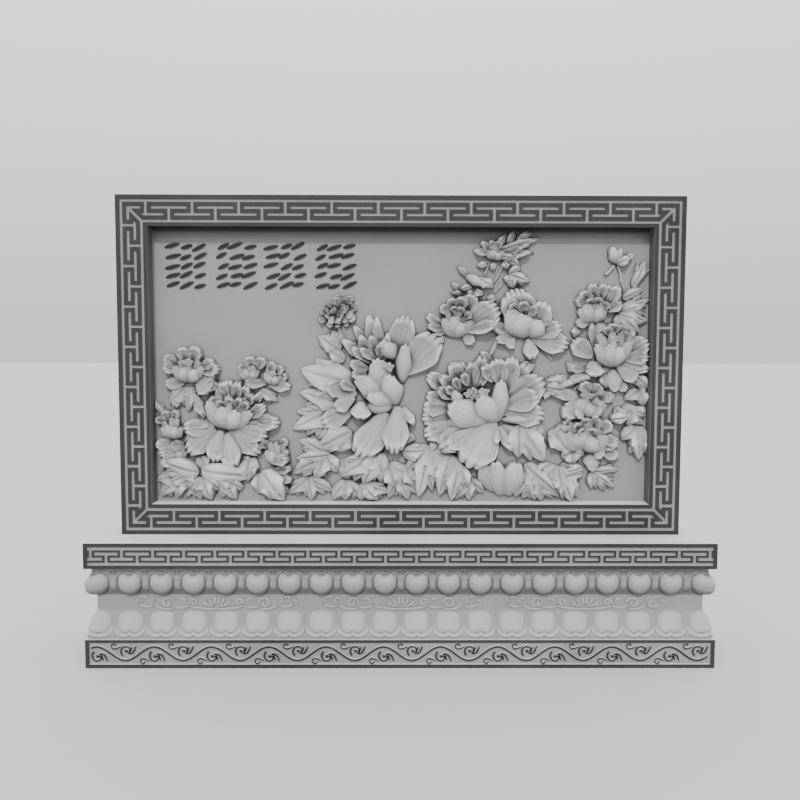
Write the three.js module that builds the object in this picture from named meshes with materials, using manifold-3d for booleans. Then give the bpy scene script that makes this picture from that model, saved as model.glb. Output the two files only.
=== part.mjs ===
// A free-standing carved stone screen wall. A peony relief stands in a mitred frame cut with a
// key pattern, on a base of a key-pattern slab, a lotus course in three blocks and a plinth slab.
// Millimetres, X to the right, Y to the back, Z up. The origin is under the middle of the base.
import * as THREE from 'three';
import { mergeVertices } from 'three/addons/utils/BufferGeometryUtils.js';
import Module from 'manifold-3d';

const wasm = await Module();
wasm.setup();

// Driving sizes of the pieces
const baseWidth = 3000;
const baseDepth = 540;
const plinthHeight = 138;
const lotusHeight = 343;
const slabHeight = 123;
const frameInset = 129;
const frameHeight = 1650;
const frameDepth = 210;
const frameFace = 150;
const frontRecess = 83;
const backRecess = 42;
const seam = 0.3;

// Key pattern of the frame: four cut lines across the face, with T shapes between them
const cutDepth = 5;
const frameLine = 13;
const frameOuterBorder = 21.5;
const frameInnerBorder = 18.6;
const frameStemStart = 145;
const frameTopStems = 12;
const frameSideStems = 8;
const cornerArm = 120;

// Key pattern of the top slab
const slabLine = 14;
const slabDark = 10.5;
const slabEndBorder = 19.5;
const slabStemStart = 35;
const slabStems = 21;

// Carved band of the plinth, with its running vine
const plinthTopBorder = 14;
const plinthBottomBorder = 19;
const plinthEndBorder = 20;
const plinthCutDepth = 4;
const vinePitch = 272.5;
const vineFirstCrest = 327;
const vineWidth = 11;
const vineMargin = 8;

// Lotus course: how far each level stands out from the waist, and how the petals are spaced
const waistInset = 47;
const lotusRise = 43;
const lotusGroove = 20;
const lowerRowHeight = 127;
const upperRowHeight = 135;
const frontPetals = 18;
const endPetals = 2;
const frontCorner = 85;
const endCorner = 71;
const middleBlockPetals = 6;

// Relief: the carving starts this deep inside the ground, so that both are one stone
const buried = 3;
const strokeHeight = 7;
const drawnWidth = 2442;

// Places that follow from the sizes above
const lotusBottom = plinthHeight + seam;
const lotusTop = plinthHeight + lotusHeight;
const slabBottom = lotusTop + seam;
const slabTop = lotusTop + slabHeight;
const frameBottom = slabTop + seam;
const frameTop = slabTop + frameHeight;
const frameFront = -frameDepth / 2;
const frameWidth = baseWidth - 2 * frameInset;
const openingWidth = frameWidth - 2 * frameFace;
const panelLeft = -openingWidth / 2 + seam;
const panelRight = openingWidth / 2 - seam;
const panelBottom = frameBottom + frameFace + seam;
const panelTop = frameTop - frameFace - seam;
const groundY = frameFront + frontRecess;
const panelBack = frameDepth / 2 - backRecess;
const waistX = baseWidth / 2 - waistInset;
const waistY = baseDepth / 2 - waistInset;
const frontPitch = 2 * (waistX - frontCorner) / frontPetals;
const endPitch = 2 * (waistY - endCorner) / endPetals;
const spread = openingWidth / drawnWidth;

const DEG = Math.PI / 180;

// Stone finishes: honed dark grey, chiselled pale grey, and the paler grey of the carving
const darkStone = { color: 0x6b6b6c, roughness: 0.55, metalness: 0 };
const paleStone = { color: 0xa9a9a7, roughness: 0.85, metalness: 0 };
const carvedStone = { color: 0xa2a2a3, roughness: 0.8, metalness: 0 };

// A closed triangle mesh with its faces pointing out, as a solid for joining and cutting.
// Points that meet are merged, and triangles that shrink to a line are left out.
function solidFrom(positions, triangles) {
  const loose = new THREE.BufferGeometry();
  loose.setAttribute('position', new THREE.Float32BufferAttribute(positions, 3));
  loose.setIndex(triangles);
  const merged = mergeVertices(loose, 0.01);
  const corner = merged.index.array;
  const kept = [];
  for (let i = 0; i < corner.length; i += 3) {
    const [a, b, c] = [corner[i], corner[i + 1], corner[i + 2]];
    if (a !== b && b !== c && c !== a) kept.push(a, b, c);
  }
  const points = merged.attributes.position;
  if (signedVolume(points, kept) < 0) kept.reverse();
  return new wasm.Manifold(new wasm.Mesh({
    numProp: 3,
    vertProperties: new Float32Array(points.array),
    triVerts: new Uint32Array(kept),
  }));
}

function signedVolume(points, corners) {
  const [a, b, c] = [new THREE.Vector3(), new THREE.Vector3(), new THREE.Vector3()];
  let volume = 0;
  for (let i = 0; i < corners.length; i += 3) {
    a.fromBufferAttribute(points, corners[i]);
    b.fromBufferAttribute(points, corners[i + 1]);
    c.fromBufferAttribute(points, corners[i + 2]);
    volume += a.dot(b.cross(c)) / 6;
  }
  return volume;
}

function geometryOf(solid) {
  const mesh = solid.getMesh();
  const geometry = new THREE.BufferGeometry();
  geometry.setAttribute('position', new THREE.BufferAttribute(new Float32Array(mesh.vertProperties), 3));
  geometry.setIndex(new THREE.BufferAttribute(new Uint32Array(mesh.triVerts), 1));
  const flat = geometry.toNonIndexed();
  flat.computeVertexNormals();
  return flat;
}

// An outline in X and Z, run through from a back plane to a front plane
function slabOf(outline, backY, frontY) {
  const shape = new THREE.Shape(outline.map(([x, z]) => new THREE.Vector2(x, z)));
  const block = new THREE.ExtrudeGeometry(shape, { depth: backY - frontY, bevelEnabled: false });
  block.rotateX(Math.PI / 2);
  block.translate(0, backY, 0);
  block.deleteAttribute('normal');
  block.deleteAttribute('uv');
  const merged = mergeVertices(block, 0.001);
  return solidFrom(Array.from(merged.attributes.position.array), Array.from(merged.index.array));
}

function rectangle(left, right, bottom, top) {
  return [[left, bottom], [right, bottom], [right, top], [left, top]];
}

function named(name, solid, finish) {
  const mesh = new THREE.Mesh(geometryOf(solid), new THREE.MeshStandardMaterial(finish));
  mesh.name = name;
  return mesh;
}

// One comb of a key pattern: a line along a border, with a T on each stem. The line's middle is
// at lineAt and the T's bar is at barAt, both measured across the face, and side is +1 where the
// T hangs away from the edge that the face is measured from. Bars stop at the limits given.
function combOutline(key, stems, lineAt, barAt, from, to) {
  const half = key.line / 2;
  const side = Math.sign(barAt - lineAt);
  const near = lineAt + side * half;
  const bar = barAt - side * half;
  const far = barAt + side * half;
  const outline = [[from, lineAt - side * half], [from, near]];
  for (const stem of stems) {
    const leftNear = Math.max(stem.left(bar), from);
    const leftFar = Math.max(stem.left(far), from);
    const rightNear = Math.min(stem.right(bar), to);
    const rightFar = Math.min(stem.right(far), to);
    outline.push([stem.at - half, near], [stem.at - half, bar], [leftNear, bar], [leftFar, far]);
    outline.push([rightFar, far], [rightNear, bar], [stem.at + half, bar], [stem.at + half, near]);
  }
  outline.push([to, near], [to, lineAt - side * half]);
  return outline;
}

// Stems spaced evenly, each with a bar that leaves the same dark gap to the next stem
function evenStems(count, first, pitch, reach) {
  return Array.from({ length: count }, (_, i) => {
    const at = first + i * pitch;
    return { at, left: () => at - reach, right: () => at + reach };
  });
}

// The key pattern of one frame member, in distance along it and distance in from its outer edge
function frameKeyCuts(length, stemCount) {
  const step = (frameFace - frameOuterBorder - frameInnerBorder - frameLine) / 3;
  const line = (index) => frameOuterBorder + frameLine / 2 + index * step;
  const key = { line: frameLine };
  const dark = step - frameLine;
  const pitch = (length - 2 * frameStemStart) / (stemCount - 1);
  const reach = pitch / 2 - frameLine / 2 - dark;
  const slant = (dark + frameLine / 2) * Math.SQRT2;
  const hanging = evenStems(stemCount, frameStemStart, pitch, reach);
  hanging[0].left = (across) => across + slant;
  hanging[stemCount - 1].right = (across) => length - across - slant;
  const standing = evenStems(stemCount - 1, frameStemStart + pitch / 2, pitch, reach);
  const half = frameLine / 2;
  const skew = half * Math.SQRT2;
  const cuts = [
    combOutline(key, hanging, line(0), line(2), 0, length),
    combOutline(key, standing, line(3), line(1), 0, length),
  ];
  for (const end of [(along) => along, (along) => length - along]) {
    cuts.push([
      [end(line(1) - half), line(1) - half], [end(cornerArm), line(1) - half],
      [end(cornerArm), line(1) + half], [end(line(1) + half), line(1) + half],
    ]);
    cuts.push([
      [end(line(1)), line(1)], [end(line(1) + skew), line(1)],
      [end(line(3) + skew), line(3)], [end(line(3)), line(3)],
    ]);
  }
  return cuts;
}

// A mitred frame member with its key pattern, placed by how far it runs along and across
function frameMember(length, stemCount, place) {
  const trim = seam / 2 * Math.SQRT2;
  const outline = [
    [trim, 0], [length - trim, 0],
    [length - frameFace - trim, frameFace], [frameFace + trim, frameFace],
  ];
  const turn = (points) => points.map(([along, across]) => place(along, across));
  let member = slabOf(turn(outline), frameDepth / 2, frameFront);
  for (const cut of frameKeyCuts(length, stemCount)) {
    member = member.subtract(slabOf(turn(cut), frameFront + cutDepth, frameFront - cutDepth));
  }
  return member;
}

// The top slab, with its key pattern along the front and a plain sunk band on each end
function topSlab() {
  const front = -baseDepth / 2;
  const step = slabLine + slabDark;
  const border = (slabHeight - 3 * step - slabLine) / 2;
  const line = (index) => slabTop - border - slabLine / 2 - index * step;
  const pitch = (baseWidth - 2 * slabStemStart) / (slabStems - 1);
  const reach = pitch / 2 - slabLine / 2 - slabDark;
  const left = -baseWidth / 2;
  const from = left + slabEndBorder;
  const to = -from;
  const key = { line: slabLine };
  const hanging = evenStems(slabStems, left + slabStemStart, pitch, reach);
  const standing = evenStems(slabStems - 1, left + slabStemStart + pitch / 2, pitch, reach);
  let slab = slabOf(rectangle(left, -left, slabBottom, slabTop), baseDepth / 2, front);
  const combs = [
    combOutline(key, hanging, line(0), line(2), from, to),
    combOutline(key, standing, line(3), line(1), from, to),
  ];
  for (const comb of combs) slab = slab.subtract(slabOf(comb, front + cutDepth, front - cutDepth));
  for (const side of [-1, 1]) {
    const inner = side * (baseWidth / 2 - cutDepth);
    const outer = side * (baseWidth / 2 + cutDepth);
    const band = rectangle(Math.min(inner, outer), Math.max(inner, outer),
      slabBottom + border, slabTop - border);
    slab = slab.subtract(slabOf(band, baseDepth / 2 - slabEndBorder, front + slabEndBorder));
  }
  return slab;
}

// The plinth slab: a sunk band along the front in which a waving vine is left standing
function plinthSlab() {
  const front = -baseDepth / 2;
  const left = -baseWidth / 2;
  const bandLeft = left + plinthEndBorder;
  const bandBottom = plinthBottomBorder;
  const bandTop = plinthHeight - plinthTopBorder;
  const bandMiddle = (bandBottom + bandTop) / 2;
  const swing = (bandTop - bandBottom) / 2 - vineMargin - vineWidth / 2;
  const start = bandLeft + vineMargin;
  const quarter = vinePitch / 4;
  const crest = left + vineFirstCrest;
  const upper = [];
  const lower = [];
  const add = (x) => {
    const z = bandMiddle + swing * Math.cos(2 * Math.PI * (x - crest) / vinePitch);
    upper.push([x, z + vineWidth / 2]);
    lower.push([x, z - vineWidth / 2]);
  };
  add(start);
  const firstStep = Math.ceil((start - crest) / quarter);
  const steps = Math.floor((-start - crest) / quarter) - firstStep;
  for (let i = 0; i < steps; i += 1) add(crest + (firstStep + i + 0.5) * quarter);
  add(-start);
  const vine = slabOf([...lower, ...upper.reverse()], front + 2 * plinthCutDepth, front - 2);
  const band = slabOf(rectangle(bandLeft, -bandLeft, bandBottom, bandTop),
    front + plinthCutDepth, front - plinthCutDepth);
  const slab = slabOf(rectangle(left, -left, 0, plinthHeight), baseDepth / 2, front);
  return slab.subtract(band.subtract(vine));
}

// The lotus course's section, from the bottom up: height, and how far each level stands out
function lotusLevels() {
  const waistLow = lotusBottom + lowerRowHeight;
  const waistHigh = lotusTop - upperRowHeight;
  return [
    { z: lotusBottom, out: 0.94 },
    { z: lotusBottom + 0.16 * lowerRowHeight, out: 1 },
    { z: lotusBottom + 0.66 * lowerRowHeight, out: 0.68 },
    { z: waistLow, out: 0 },
    { z: waistHigh, out: 0 },
    { z: waistHigh + 0.26 * upperRowHeight, out: 0.8 },
    { z: waistHigh + 0.62 * upperRowHeight, out: 1 },
    { z: lotusTop, out: 0.62 },
  ];
}

// Columns along one petal: where each lies in the petal's width, and how much it is sunk
const petalColumns = [
  { share: 0, sunk: 1 },
  { share: 0.26, sunk: 0.1 },
  { share: 0.74, sunk: 0.1 },
];

// A lotus block between two planes across the course. Petals run round the front and any end
// that shows, and the back is the same moulding left plain.
function lotusBlock(fromX, toX) {
  const run = waistX - frontCorner;
  const runY = waistY - endCorner;
  const columns = [];
  const add = (x, y, outX, outY, sunk) => columns.push({ x, y, outX, outY, sunk });
  if (fromX <= -waistX) {
    add(-waistX, waistY, -1, 1, 0);
    for (let i = endPetals - 1; i >= 0; i -= 1) {
      for (const { share, sunk } of petalColumns) {
        add(-waistX, -runY + (i + 1 - share) * endPitch, -1, 0, sunk);
      }
    }
    add(-waistX, -runY, -1, 0, 1);
    add(-waistX, -(runY + waistY) / 2, -1, 0, 0.15);
    add(-waistX, -waistY, -1, -1, 0.3);
    add(-(run + waistX) / 2, -waistY, 0, -1, 0.15);
  } else {
    add(fromX, waistY, 0, 1, 0);
    add(fromX, -waistY, 0, -1, 1);
  }
  for (let i = 0; i < frontPetals; i += 1) {
    for (const { share, sunk } of petalColumns) {
      const x = -run + (i + share) * frontPitch;
      if (x > fromX + seam && x < toX - seam) add(x, -waistY, 0, -1, sunk);
    }
  }
  if (toX >= waistX) {
    add(run, -waistY, 0, -1, 1);
    add((run + waistX) / 2, -waistY, 0, -1, 0.15);
    add(waistX, -waistY, 1, -1, 0.3);
    add(waistX, -(runY + waistY) / 2, 1, 0, 0.15);
    for (let i = 0; i < endPetals; i += 1) {
      for (const { share, sunk } of petalColumns) {
        add(waistX, -runY + (i + share) * endPitch, 1, 0, sunk);
      }
    }
    add(waistX, runY, 1, 0, 1);
    add(waistX, waistY, 1, 1, 0);
  } else {
    add(toX, -waistY, 0, -1, 1);
    add(toX, waistY, 0, 1, 0);
  }
  return solidFromColumns(columns, lotusLevels());
}

// A closed body from columns of points round it: side faces level by level, then flat caps
function solidFromColumns(columns, levels) {
  const positions = [];
  for (const level of levels) {
    for (const column of columns) {
      const out = level.out * (lotusRise - (level.out > 0 ? column.sunk * lotusGroove : 0));
      positions.push(column.x + column.outX * out, column.y + column.outY * out, level.z);
    }
  }
  const around = columns.length;
  const triangles = [];
  for (let row = 0; row + 1 < levels.length; row += 1) {
    for (let i = 0; i < around; i += 1) {
      const [a, b] = [row * around + i, row * around + (i + 1) % around];
      triangles.push(a, b, b + around, a, b + around, a + around);
    }
  }
  const capTriangles = (row) => {
    const ring = columns.map((_, i) => {
      const start = 3 * (row * around + i);
      return new THREE.Vector2(positions[start], positions[start + 1]);
    });
    return THREE.ShapeUtils.triangulateShape(ring, []).map((face) => face.map((i) => row * around + i));
  };
  for (const [a, b, c] of capTriangles(0)) triangles.push(a, c, b);
  for (const [a, b, c] of capTriangles(levels.length - 1)) triangles.push(a, b, c);
  return solidFrom(positions, triangles);
}

// A carved form over the ground: its front points, the faces between them, and its rim in order.
// Each front point has sideways place, upright place and height, and the form is closed down
// into the ground.
function carvedForm(points, faces, rim) {
  const positions = [];
  for (const [x, z, height] of points) positions.push(x, groundY - height, z);
  for (const [x, z] of points) positions.push(x, groundY + buried, z);
  const back = points.length;
  const triangles = [];
  for (const [a, b, c] of faces) triangles.push(a, b, c, back + a, back + c, back + b);
  rim.forEach((a, k) => {
    const b = rim[(k + 1) % rim.length];
    triangles.push(a, back + b, b, a, back + a, back + b);
  });
  return solidFrom(positions, triangles);
}

// From a place along and across a direction to the panel's own X and Z. The drawing of the relief
// is as wide as the opening of the real frame, and its places spread with the opening.
function placed(x, z, angle, along, across) {
  const [c, s] = [Math.cos(angle * DEG), Math.sin(angle * DEG)];
  return [x * spread + along * c - across * s, panelBottom + z + along * s + across * c];
}

// A petal fans out from its foot to a rounded end. Its cup lifts or drops the two long edges.
function petal({ x, z, angle, from = 0, length, width, root, tip, cup = -7 }) {
  const middle = 0.62;
  const point = (u, v) => {
    const along = from + (length - from) * v * (1 - 0.14 * u * u * v);
    const across = width / 2 * u * (v < middle ? 0.86 : 1);
    return [...placed(x, z, angle, along, across), Math.max(root + (tip - root) * v + cup * u * u, 3)];
  };
  const points = [
    point(0, 0), point(-1, middle), point(0, middle), point(1, middle),
    point(-0.72, 1), point(0, 1), point(0.72, 1),
  ];
  points[2][2] += 8;
  const faces = [[0, 1, 2], [0, 2, 3], [1, 4, 2], [4, 5, 2], [2, 5, 6], [2, 6, 3]];
  return carvedForm(points, faces, [0, 1, 4, 5, 6, 3]);
}

// A leaf with three pointed lobes, highest along its middle
function leaf(x, z, angle, length) {
  const edge = [
    [0, 0, 0.6], [0.62, -1, 0.62], [0.6, -0.46, 0.74], [1, 0, 0.62], [0.6, 0.46, 0.74], [0.62, 1, 0.62],
  ];
  const ring = edge.map(([v, u, h]) =>
    [...placed(x, z, angle, v * length, u * leafShape.width * length), h * leafShape.height]);
  const middle = [...placed(x, z, angle, 0.42 * length, 0), leafShape.height];
  const faces = ring.map((_, i) => [0, 1 + i, 1 + (i + 1) % ring.length]);
  return carvedForm([middle, ...ring], faces, ring.map((_, i) => 1 + i));
}

// A peony seen from the front: a round cup at its heart, a sunk ring about it, and broad petals
// whose tips stand out again. Petals on the upper side are longer, because the flower looks up.
function peony({ x, z, radius, petals, height, turn, cup }) {
  const around = (angle, reach, up, rise) => {
    const upper = 1 + 0.12 * Math.sin(angle);
    const across = reach * upper * Math.cos(angle);
    return [x * spread + across, panelBottom + z + up + 0.86 * reach * upper * Math.sin(angle), rise];
  };
  const drop = -0.1 * radius;
  const points = [[x * spread, panelBottom + z + drop, height + peonyShape.cupRise]];
  const faces = [];
  const rim = [];
  for (let i = 0; i < petals; i += 1) {
    const angle = (share) => (turn + 360 * (i + share) / petals) * DEG;
    points.push(around(angle(0), 0.66 * cup, drop, height + 0.72 * peonyShape.cupRise));
    points.push(around(angle(0), cup, drop, height * peonyShape.valley));
    points.push(around(angle(0), peonyShape.notch * radius, 0, height * 0.62));
    points.push(around(angle(0.26), radius, 0, height * 0.8));
    points.push(around(angle(0.74), radius, 0, height * 0.8));
    const [a, b] = [1 + 5 * i, 1 + 5 * ((i + 1) % petals)];
    faces.push([0, a, b], [a, a + 1, b + 1], [a, b + 1, b]);
    faces.push([a + 1, a + 2, a + 3], [a + 1, a + 3, a + 4]);
    faces.push([a + 1, a + 4, b + 1], [b + 1, a + 4, b + 2]);
    rim.push(a + 2, a + 3, a + 4);
  }
  return carvedForm(points, faces, rim);
}

// The closed cup at the heart of a great peony: a low dome of two rings
function greatCup(x, z, radius, height) {
  const sides = 9;
  const points = [[x * spread, panelBottom + z, height]];
  const faces = [];
  const rim = [];
  for (let i = 0; i < sides; i += 1) {
    const angle = 2 * Math.PI * i / sides;
    for (const [reach, rise] of [[0.62, 0.9], [1, 0.55]]) {
      const across = radius * reach * Math.cos(angle);
      points.push([x * spread + across, panelBottom + z + radius * reach * Math.sin(angle), height * rise]);
    }
    const [a, b] = [1 + 2 * i, 1 + 2 * ((i + 1) % sides)];
    faces.push([0, a, b], [a, a + 1, b + 1], [a, b + 1, b]);
    rim.push(a + 1);
  }
  return carvedForm(points, faces, rim);
}

const leafShape = { width: 0.46, height: 27 };
const peonyShape = { cupRise: 22, valley: 0.55, notch: 0.82 };

// Flowers on the panel: place of the heart, radius over the petals, height, turn and cup
const flowers = [
  { x: -1045, z: 655, radius: 138, petals: 6, height: 34, turn: 25, cup: 66 },
  { x: -684, z: 625, radius: 112, petals: 5, height: 32, turn: 30, cup: 48 },
  { x: -850, z: 435, radius: 195, petals: 7, height: 38, turn: 5, cup: 96 },
  { x: -1138, z: 365, radius: 76, petals: 5, height: 32, turn: 0, cup: 46 },
  { x: -1112, z: 238, radius: 96, petals: 5, height: 26, turn: 20, cup: 40 },
  { x: -632, z: 230, radius: 78, petals: 5, height: 34, turn: 50, cup: 48 },
  { x: -313, z: 922, radius: 102, petals: 5, height: 26, turn: 12, cup: 40 },
  { x: 268, z: 925, radius: 172, petals: 7, height: 34, turn: 0, cup: 74 },
  { x: 602, z: 890, radius: 156, petals: 6, height: 38, turn: 20, cup: 90 },
  { x: 458, z: 1240, radius: 96, petals: 5, height: 28, turn: 5, cup: 42 },
  { x: 952, z: 975, radius: 122, petals: 5, height: 34, turn: 15, cup: 68 },
  { x: 1062, z: 768, radius: 148, petals: 6, height: 40, turn: 30, cup: 90 },
  { x: 892, z: 525, radius: 124, petals: 5, height: 34, turn: 0, cup: 68 },
  { x: 930, z: 345, radius: 142, petals: 6, height: 40, turn: 10, cup: 94 },
];

// Petals of the two great peonies, each by its direction, length, width, and height at its tip
const greatPeonies = [
  {
    x: -108, z: 562, heart: 108, petals: [
      [100, 345, 84, 22], [84, 325, 74, 26], [67, 378, 122, 26], [43, 372, 172, 30],
      [122, 330, 84, 18], [142, 280, 84, 20], [161, 225, 90, 24], [184, 245, 120, 28],
      [212, 284, 126, 26], [237, 190, 112, 38], [259, 330, 140, 34], [285, 314, 134, 36],
      [313, 240, 76, 26], [72, 232, 100, 48],
    ],
  },
  {
    x: 359, z: 462, heart: 130, petals: [
      [94, 240, 104, 30], [114, 244, 84, 28], [136, 240, 88, 26], [157, 266, 92, 24],
      [180, 256, 94, 26], [202, 262, 102, 28], [225, 262, 152, 32], [353, 346, 116, 32],
      [10, 352, 116, 28], [27, 368, 136, 28], [50, 330, 116, 26], [73, 266, 100, 30],
      [47, 200, 84, 50],
    ],
  },
];

// Single petals that hang below or beside a flower: place, direction, length, width, tip height
const singlePetals = [
  [478, 395, 238, 258, 182, 34], [-905, 365, 262, 160, 96, 34], [-832, 350, 290, 175, 118, 32],
  [640, 800, 325, 196, 104, 24], [955, 235, 280, 112, 100, 30],
];

// Leaves, each by the foot of its stalk, its direction and its length
const leaves = [
  [-930, 180, 188, 240], [-1040, 178, 255, 165], [-900, 210, 330, 215],
  [-830, 160, 292, 155], [-700, 195, 292, 190], [-725, 440, 4, 155],
  [-690, 548, 340, 140], [-1000, 520, 215, 150], [-300, 656, 172, 190], [-285, 768, 160, 130],
  [-330, 548, 190, 175], [-300, 478, 200, 215], [-350, 430, 245, 140], [-240, 362, 208, 200],
  [-320, 285, 182, 190], [-300, 262, 228, 215], [-225, 270, 262, 190],
  [-95, 280, 282, 190], [-260, 160, 250, 150],
  [60, 262, 262, 170], [140, 230, 246, 200], [280, 232, 232, 190],
  [462, 226, 270, 195], [596, 392, 284, 205], [650, 190, 308, 185],
  [784, 200, 285, 190], [966, 180, 310, 160], [856, 210, 200, 130],
  [1138, 382, 282, 175], [1108, 436, 28, 120], [1076, 950, 12, 140], [1086, 930, 300, 140],
  [580, 636, 20, 130], [488, 1135, 335, 150], [385, 1130, 156, 112], [548, 1232, 24, 130],
  [856, 580, 195, 120],
];

// Stalks that show between the flowers: foot, direction, length
const stalks = [
  [-235, 800, 122, 130], [655, 640, 30, 215], [1010, 1105, 62, 120], [430, 1010, 78, 190],
];

// Four groups of slanting strokes at the upper left: group places, rows in a group, and one stroke
const strokeGroups = { first: -1054, pitch: 243, middle: 1172, count: 4 };
const strokeRows = [78, 0, -78];
const stroke = { length: 180, width: 42, slant: 16 };

function strokeSolid(x, z) {
  const corners = [[-0.5, 0], [0, -0.5], [0.5, 0], [0, 0.5]];
  const outline = corners.map(([along, across]) =>
    placed(x, z, stroke.slant, along * stroke.length, across * stroke.width));
  return slabOf(outline, groundY + buried, groundY - strokeHeight);
}

// The relief panel: the ground, then leaves, flowers and strokes joined to it as one stone
function reliefPanel() {
  const carving = [];
  for (const [x, z, angle, length] of leaves) carving.push(leaf(x, z, angle, length));
  for (const [x, z, angle, length] of stalks) {
    carving.push(petal({ x, z, angle, length, width: 16, root: 14, tip: 12, cup: -4 }));
  }
  for (const [x, z, angle, length, width, tip] of singlePetals) {
    carving.push(petal({ x, z, angle, length, width, root: 30, tip }));
  }
  for (const flower of flowers) carving.push(peony(flower));
  for (const { x, z, heart, petals } of greatPeonies) {
    for (const [angle, length, width, tip] of petals) {
      carving.push(petal({ x, z, angle, from: 0.7 * heart, length, width, root: 40, tip }));
    }
    carving.push(greatCup(x, z, heart, 68));
  }
  const { first, pitch, middle, count } = strokeGroups;
  for (let group = 0; group < count; group += 1) {
    for (const up of strokeRows) carving.push(strokeSolid(first + group * pitch, middle + up));
  }
  const outline = rectangle(panelLeft, panelRight, panelBottom, panelTop);
  const ground = slabOf(outline, panelBack, groundY);
  const joined = carving.reduce((whole, piece) => whole.add(piece), ground);
  return joined.intersect(slabOf(outline, panelBack, frameFront));
}

// Where each frame member lies, from distance u along it and v in from its outer edge
const frameLeft = -frameWidth / 2;
const frameUpright = frameTop - frameBottom;
const memberPlaces = {
  frame_bottom: [frameWidth, frameTopStems, (u, v) => [frameLeft + u, frameBottom + v]],
  frame_top: [frameWidth, frameTopStems, (u, v) => [frameLeft + u, frameTop - v]],
  frame_left: [frameUpright, frameSideStems, (u, v) => [frameLeft + v, frameBottom + u]],
  frame_right: [frameUpright, frameSideStems, (u, v) => [-frameLeft - v, frameBottom + u]],
};

const screenWall = new THREE.Group();
screenWall.add(named('plinth_slab', plinthSlab(), darkStone));
const blockJoint = middleBlockPetals * frontPitch / 2;
const blockEnd = baseWidth / 2;
screenWall.add(named('lotus_block_left', lotusBlock(-blockEnd, -blockJoint - seam / 2), paleStone));
screenWall.add(named('lotus_block_middle',
  lotusBlock(-blockJoint + seam / 2, blockJoint - seam / 2), paleStone));
screenWall.add(named('lotus_block_right', lotusBlock(blockJoint + seam / 2, blockEnd), paleStone));
screenWall.add(named('top_slab', topSlab(), darkStone));
for (const [name, [length, stems, place]] of Object.entries(memberPlaces)) {
  screenWall.add(named(name, frameMember(length, stems, place), darkStone));
}
screenWall.add(named('relief_panel', reliefPanel(), carvedStone));

export default screenWall;
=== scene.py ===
# %% [markdown]
# # A carved stone screen wall
# The real wall is cut from ten stones. A plinth slab, a lotus course in three blocks and a top
# slab make the base, and four mitred members frame a panel with a peony relief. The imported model
# has the plain form of each stone. This script keeps the stones whose form is already right and
# gives them a finish, and it carves the others again in more detail.

# %% Load the frame
import math

import bpy
import numpy as np
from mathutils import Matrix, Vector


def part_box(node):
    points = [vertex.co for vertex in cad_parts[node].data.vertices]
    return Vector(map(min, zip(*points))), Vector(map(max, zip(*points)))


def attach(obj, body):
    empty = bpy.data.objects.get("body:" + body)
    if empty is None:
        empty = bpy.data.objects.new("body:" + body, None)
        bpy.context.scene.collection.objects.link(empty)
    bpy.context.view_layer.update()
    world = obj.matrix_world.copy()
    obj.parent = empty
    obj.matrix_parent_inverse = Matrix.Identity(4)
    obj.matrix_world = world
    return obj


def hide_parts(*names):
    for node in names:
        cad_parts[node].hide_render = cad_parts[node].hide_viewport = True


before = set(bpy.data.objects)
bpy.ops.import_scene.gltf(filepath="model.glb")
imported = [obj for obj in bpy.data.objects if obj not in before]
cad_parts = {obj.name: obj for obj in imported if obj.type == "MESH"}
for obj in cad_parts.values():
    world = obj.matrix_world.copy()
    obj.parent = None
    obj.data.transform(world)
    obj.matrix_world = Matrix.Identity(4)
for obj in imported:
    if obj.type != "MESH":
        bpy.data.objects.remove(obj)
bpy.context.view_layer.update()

MM = 0.001
print("stones:", sorted(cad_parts))

# %% [markdown]
# ## Places
# Every place is read from the frame or follows from it. The panel lies in a recess behind the
# frame, and the carving may fill that recess but not stand out of it. The patterns of the frame,
# the slab and the plinth are cut a few millimetres deep.

# %% Places that the frame gives
base_low, base_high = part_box("plinth_slab")
slab_low, slab_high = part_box("top_slab")
lotus_low, lotus_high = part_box("lotus_block_left")
frame_low, frame_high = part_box("frame_top")
panel_low, panel_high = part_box("relief_panel")
recess = 83 * MM
frame_cut = 5 * MM
plinth_cut = 4 * MM
ground_y = frame_low.y + recess
panel_foot = panel_low.z
print("panel ground at y", round(ground_y, 4), "and its foot at z", round(panel_foot, 4))

# %% [markdown]
# ## Camera
# The picture was taken by someone standing in front of the wall, a little left of its middle,
# with the camera tipped down by four degrees. The lens is moderately wide. A small shift keeps
# the wall in the same place in the frame.

# %% Camera
lens_place = (-29 * MM, -3.991, 1.634)
lens_down = 3.88
lens_shift = -0.0259
lens_roll = -0.13
lens_turn = -0.34
lens_length = 36.06

camera = bpy.data.objects.new("camera", bpy.data.cameras.new("camera"))
bpy.context.scene.collection.objects.link(camera)
camera.location = lens_place
camera.rotation_euler = [math.radians(a) for a in (90 - lens_down, lens_roll, lens_turn)]
camera.data.sensor_width = 36
camera.data.lens = lens_length
camera.data.shift_y = lens_shift
bpy.context.scene.camera = camera
print("camera at", [round(v, 2) for v in camera.location])
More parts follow.
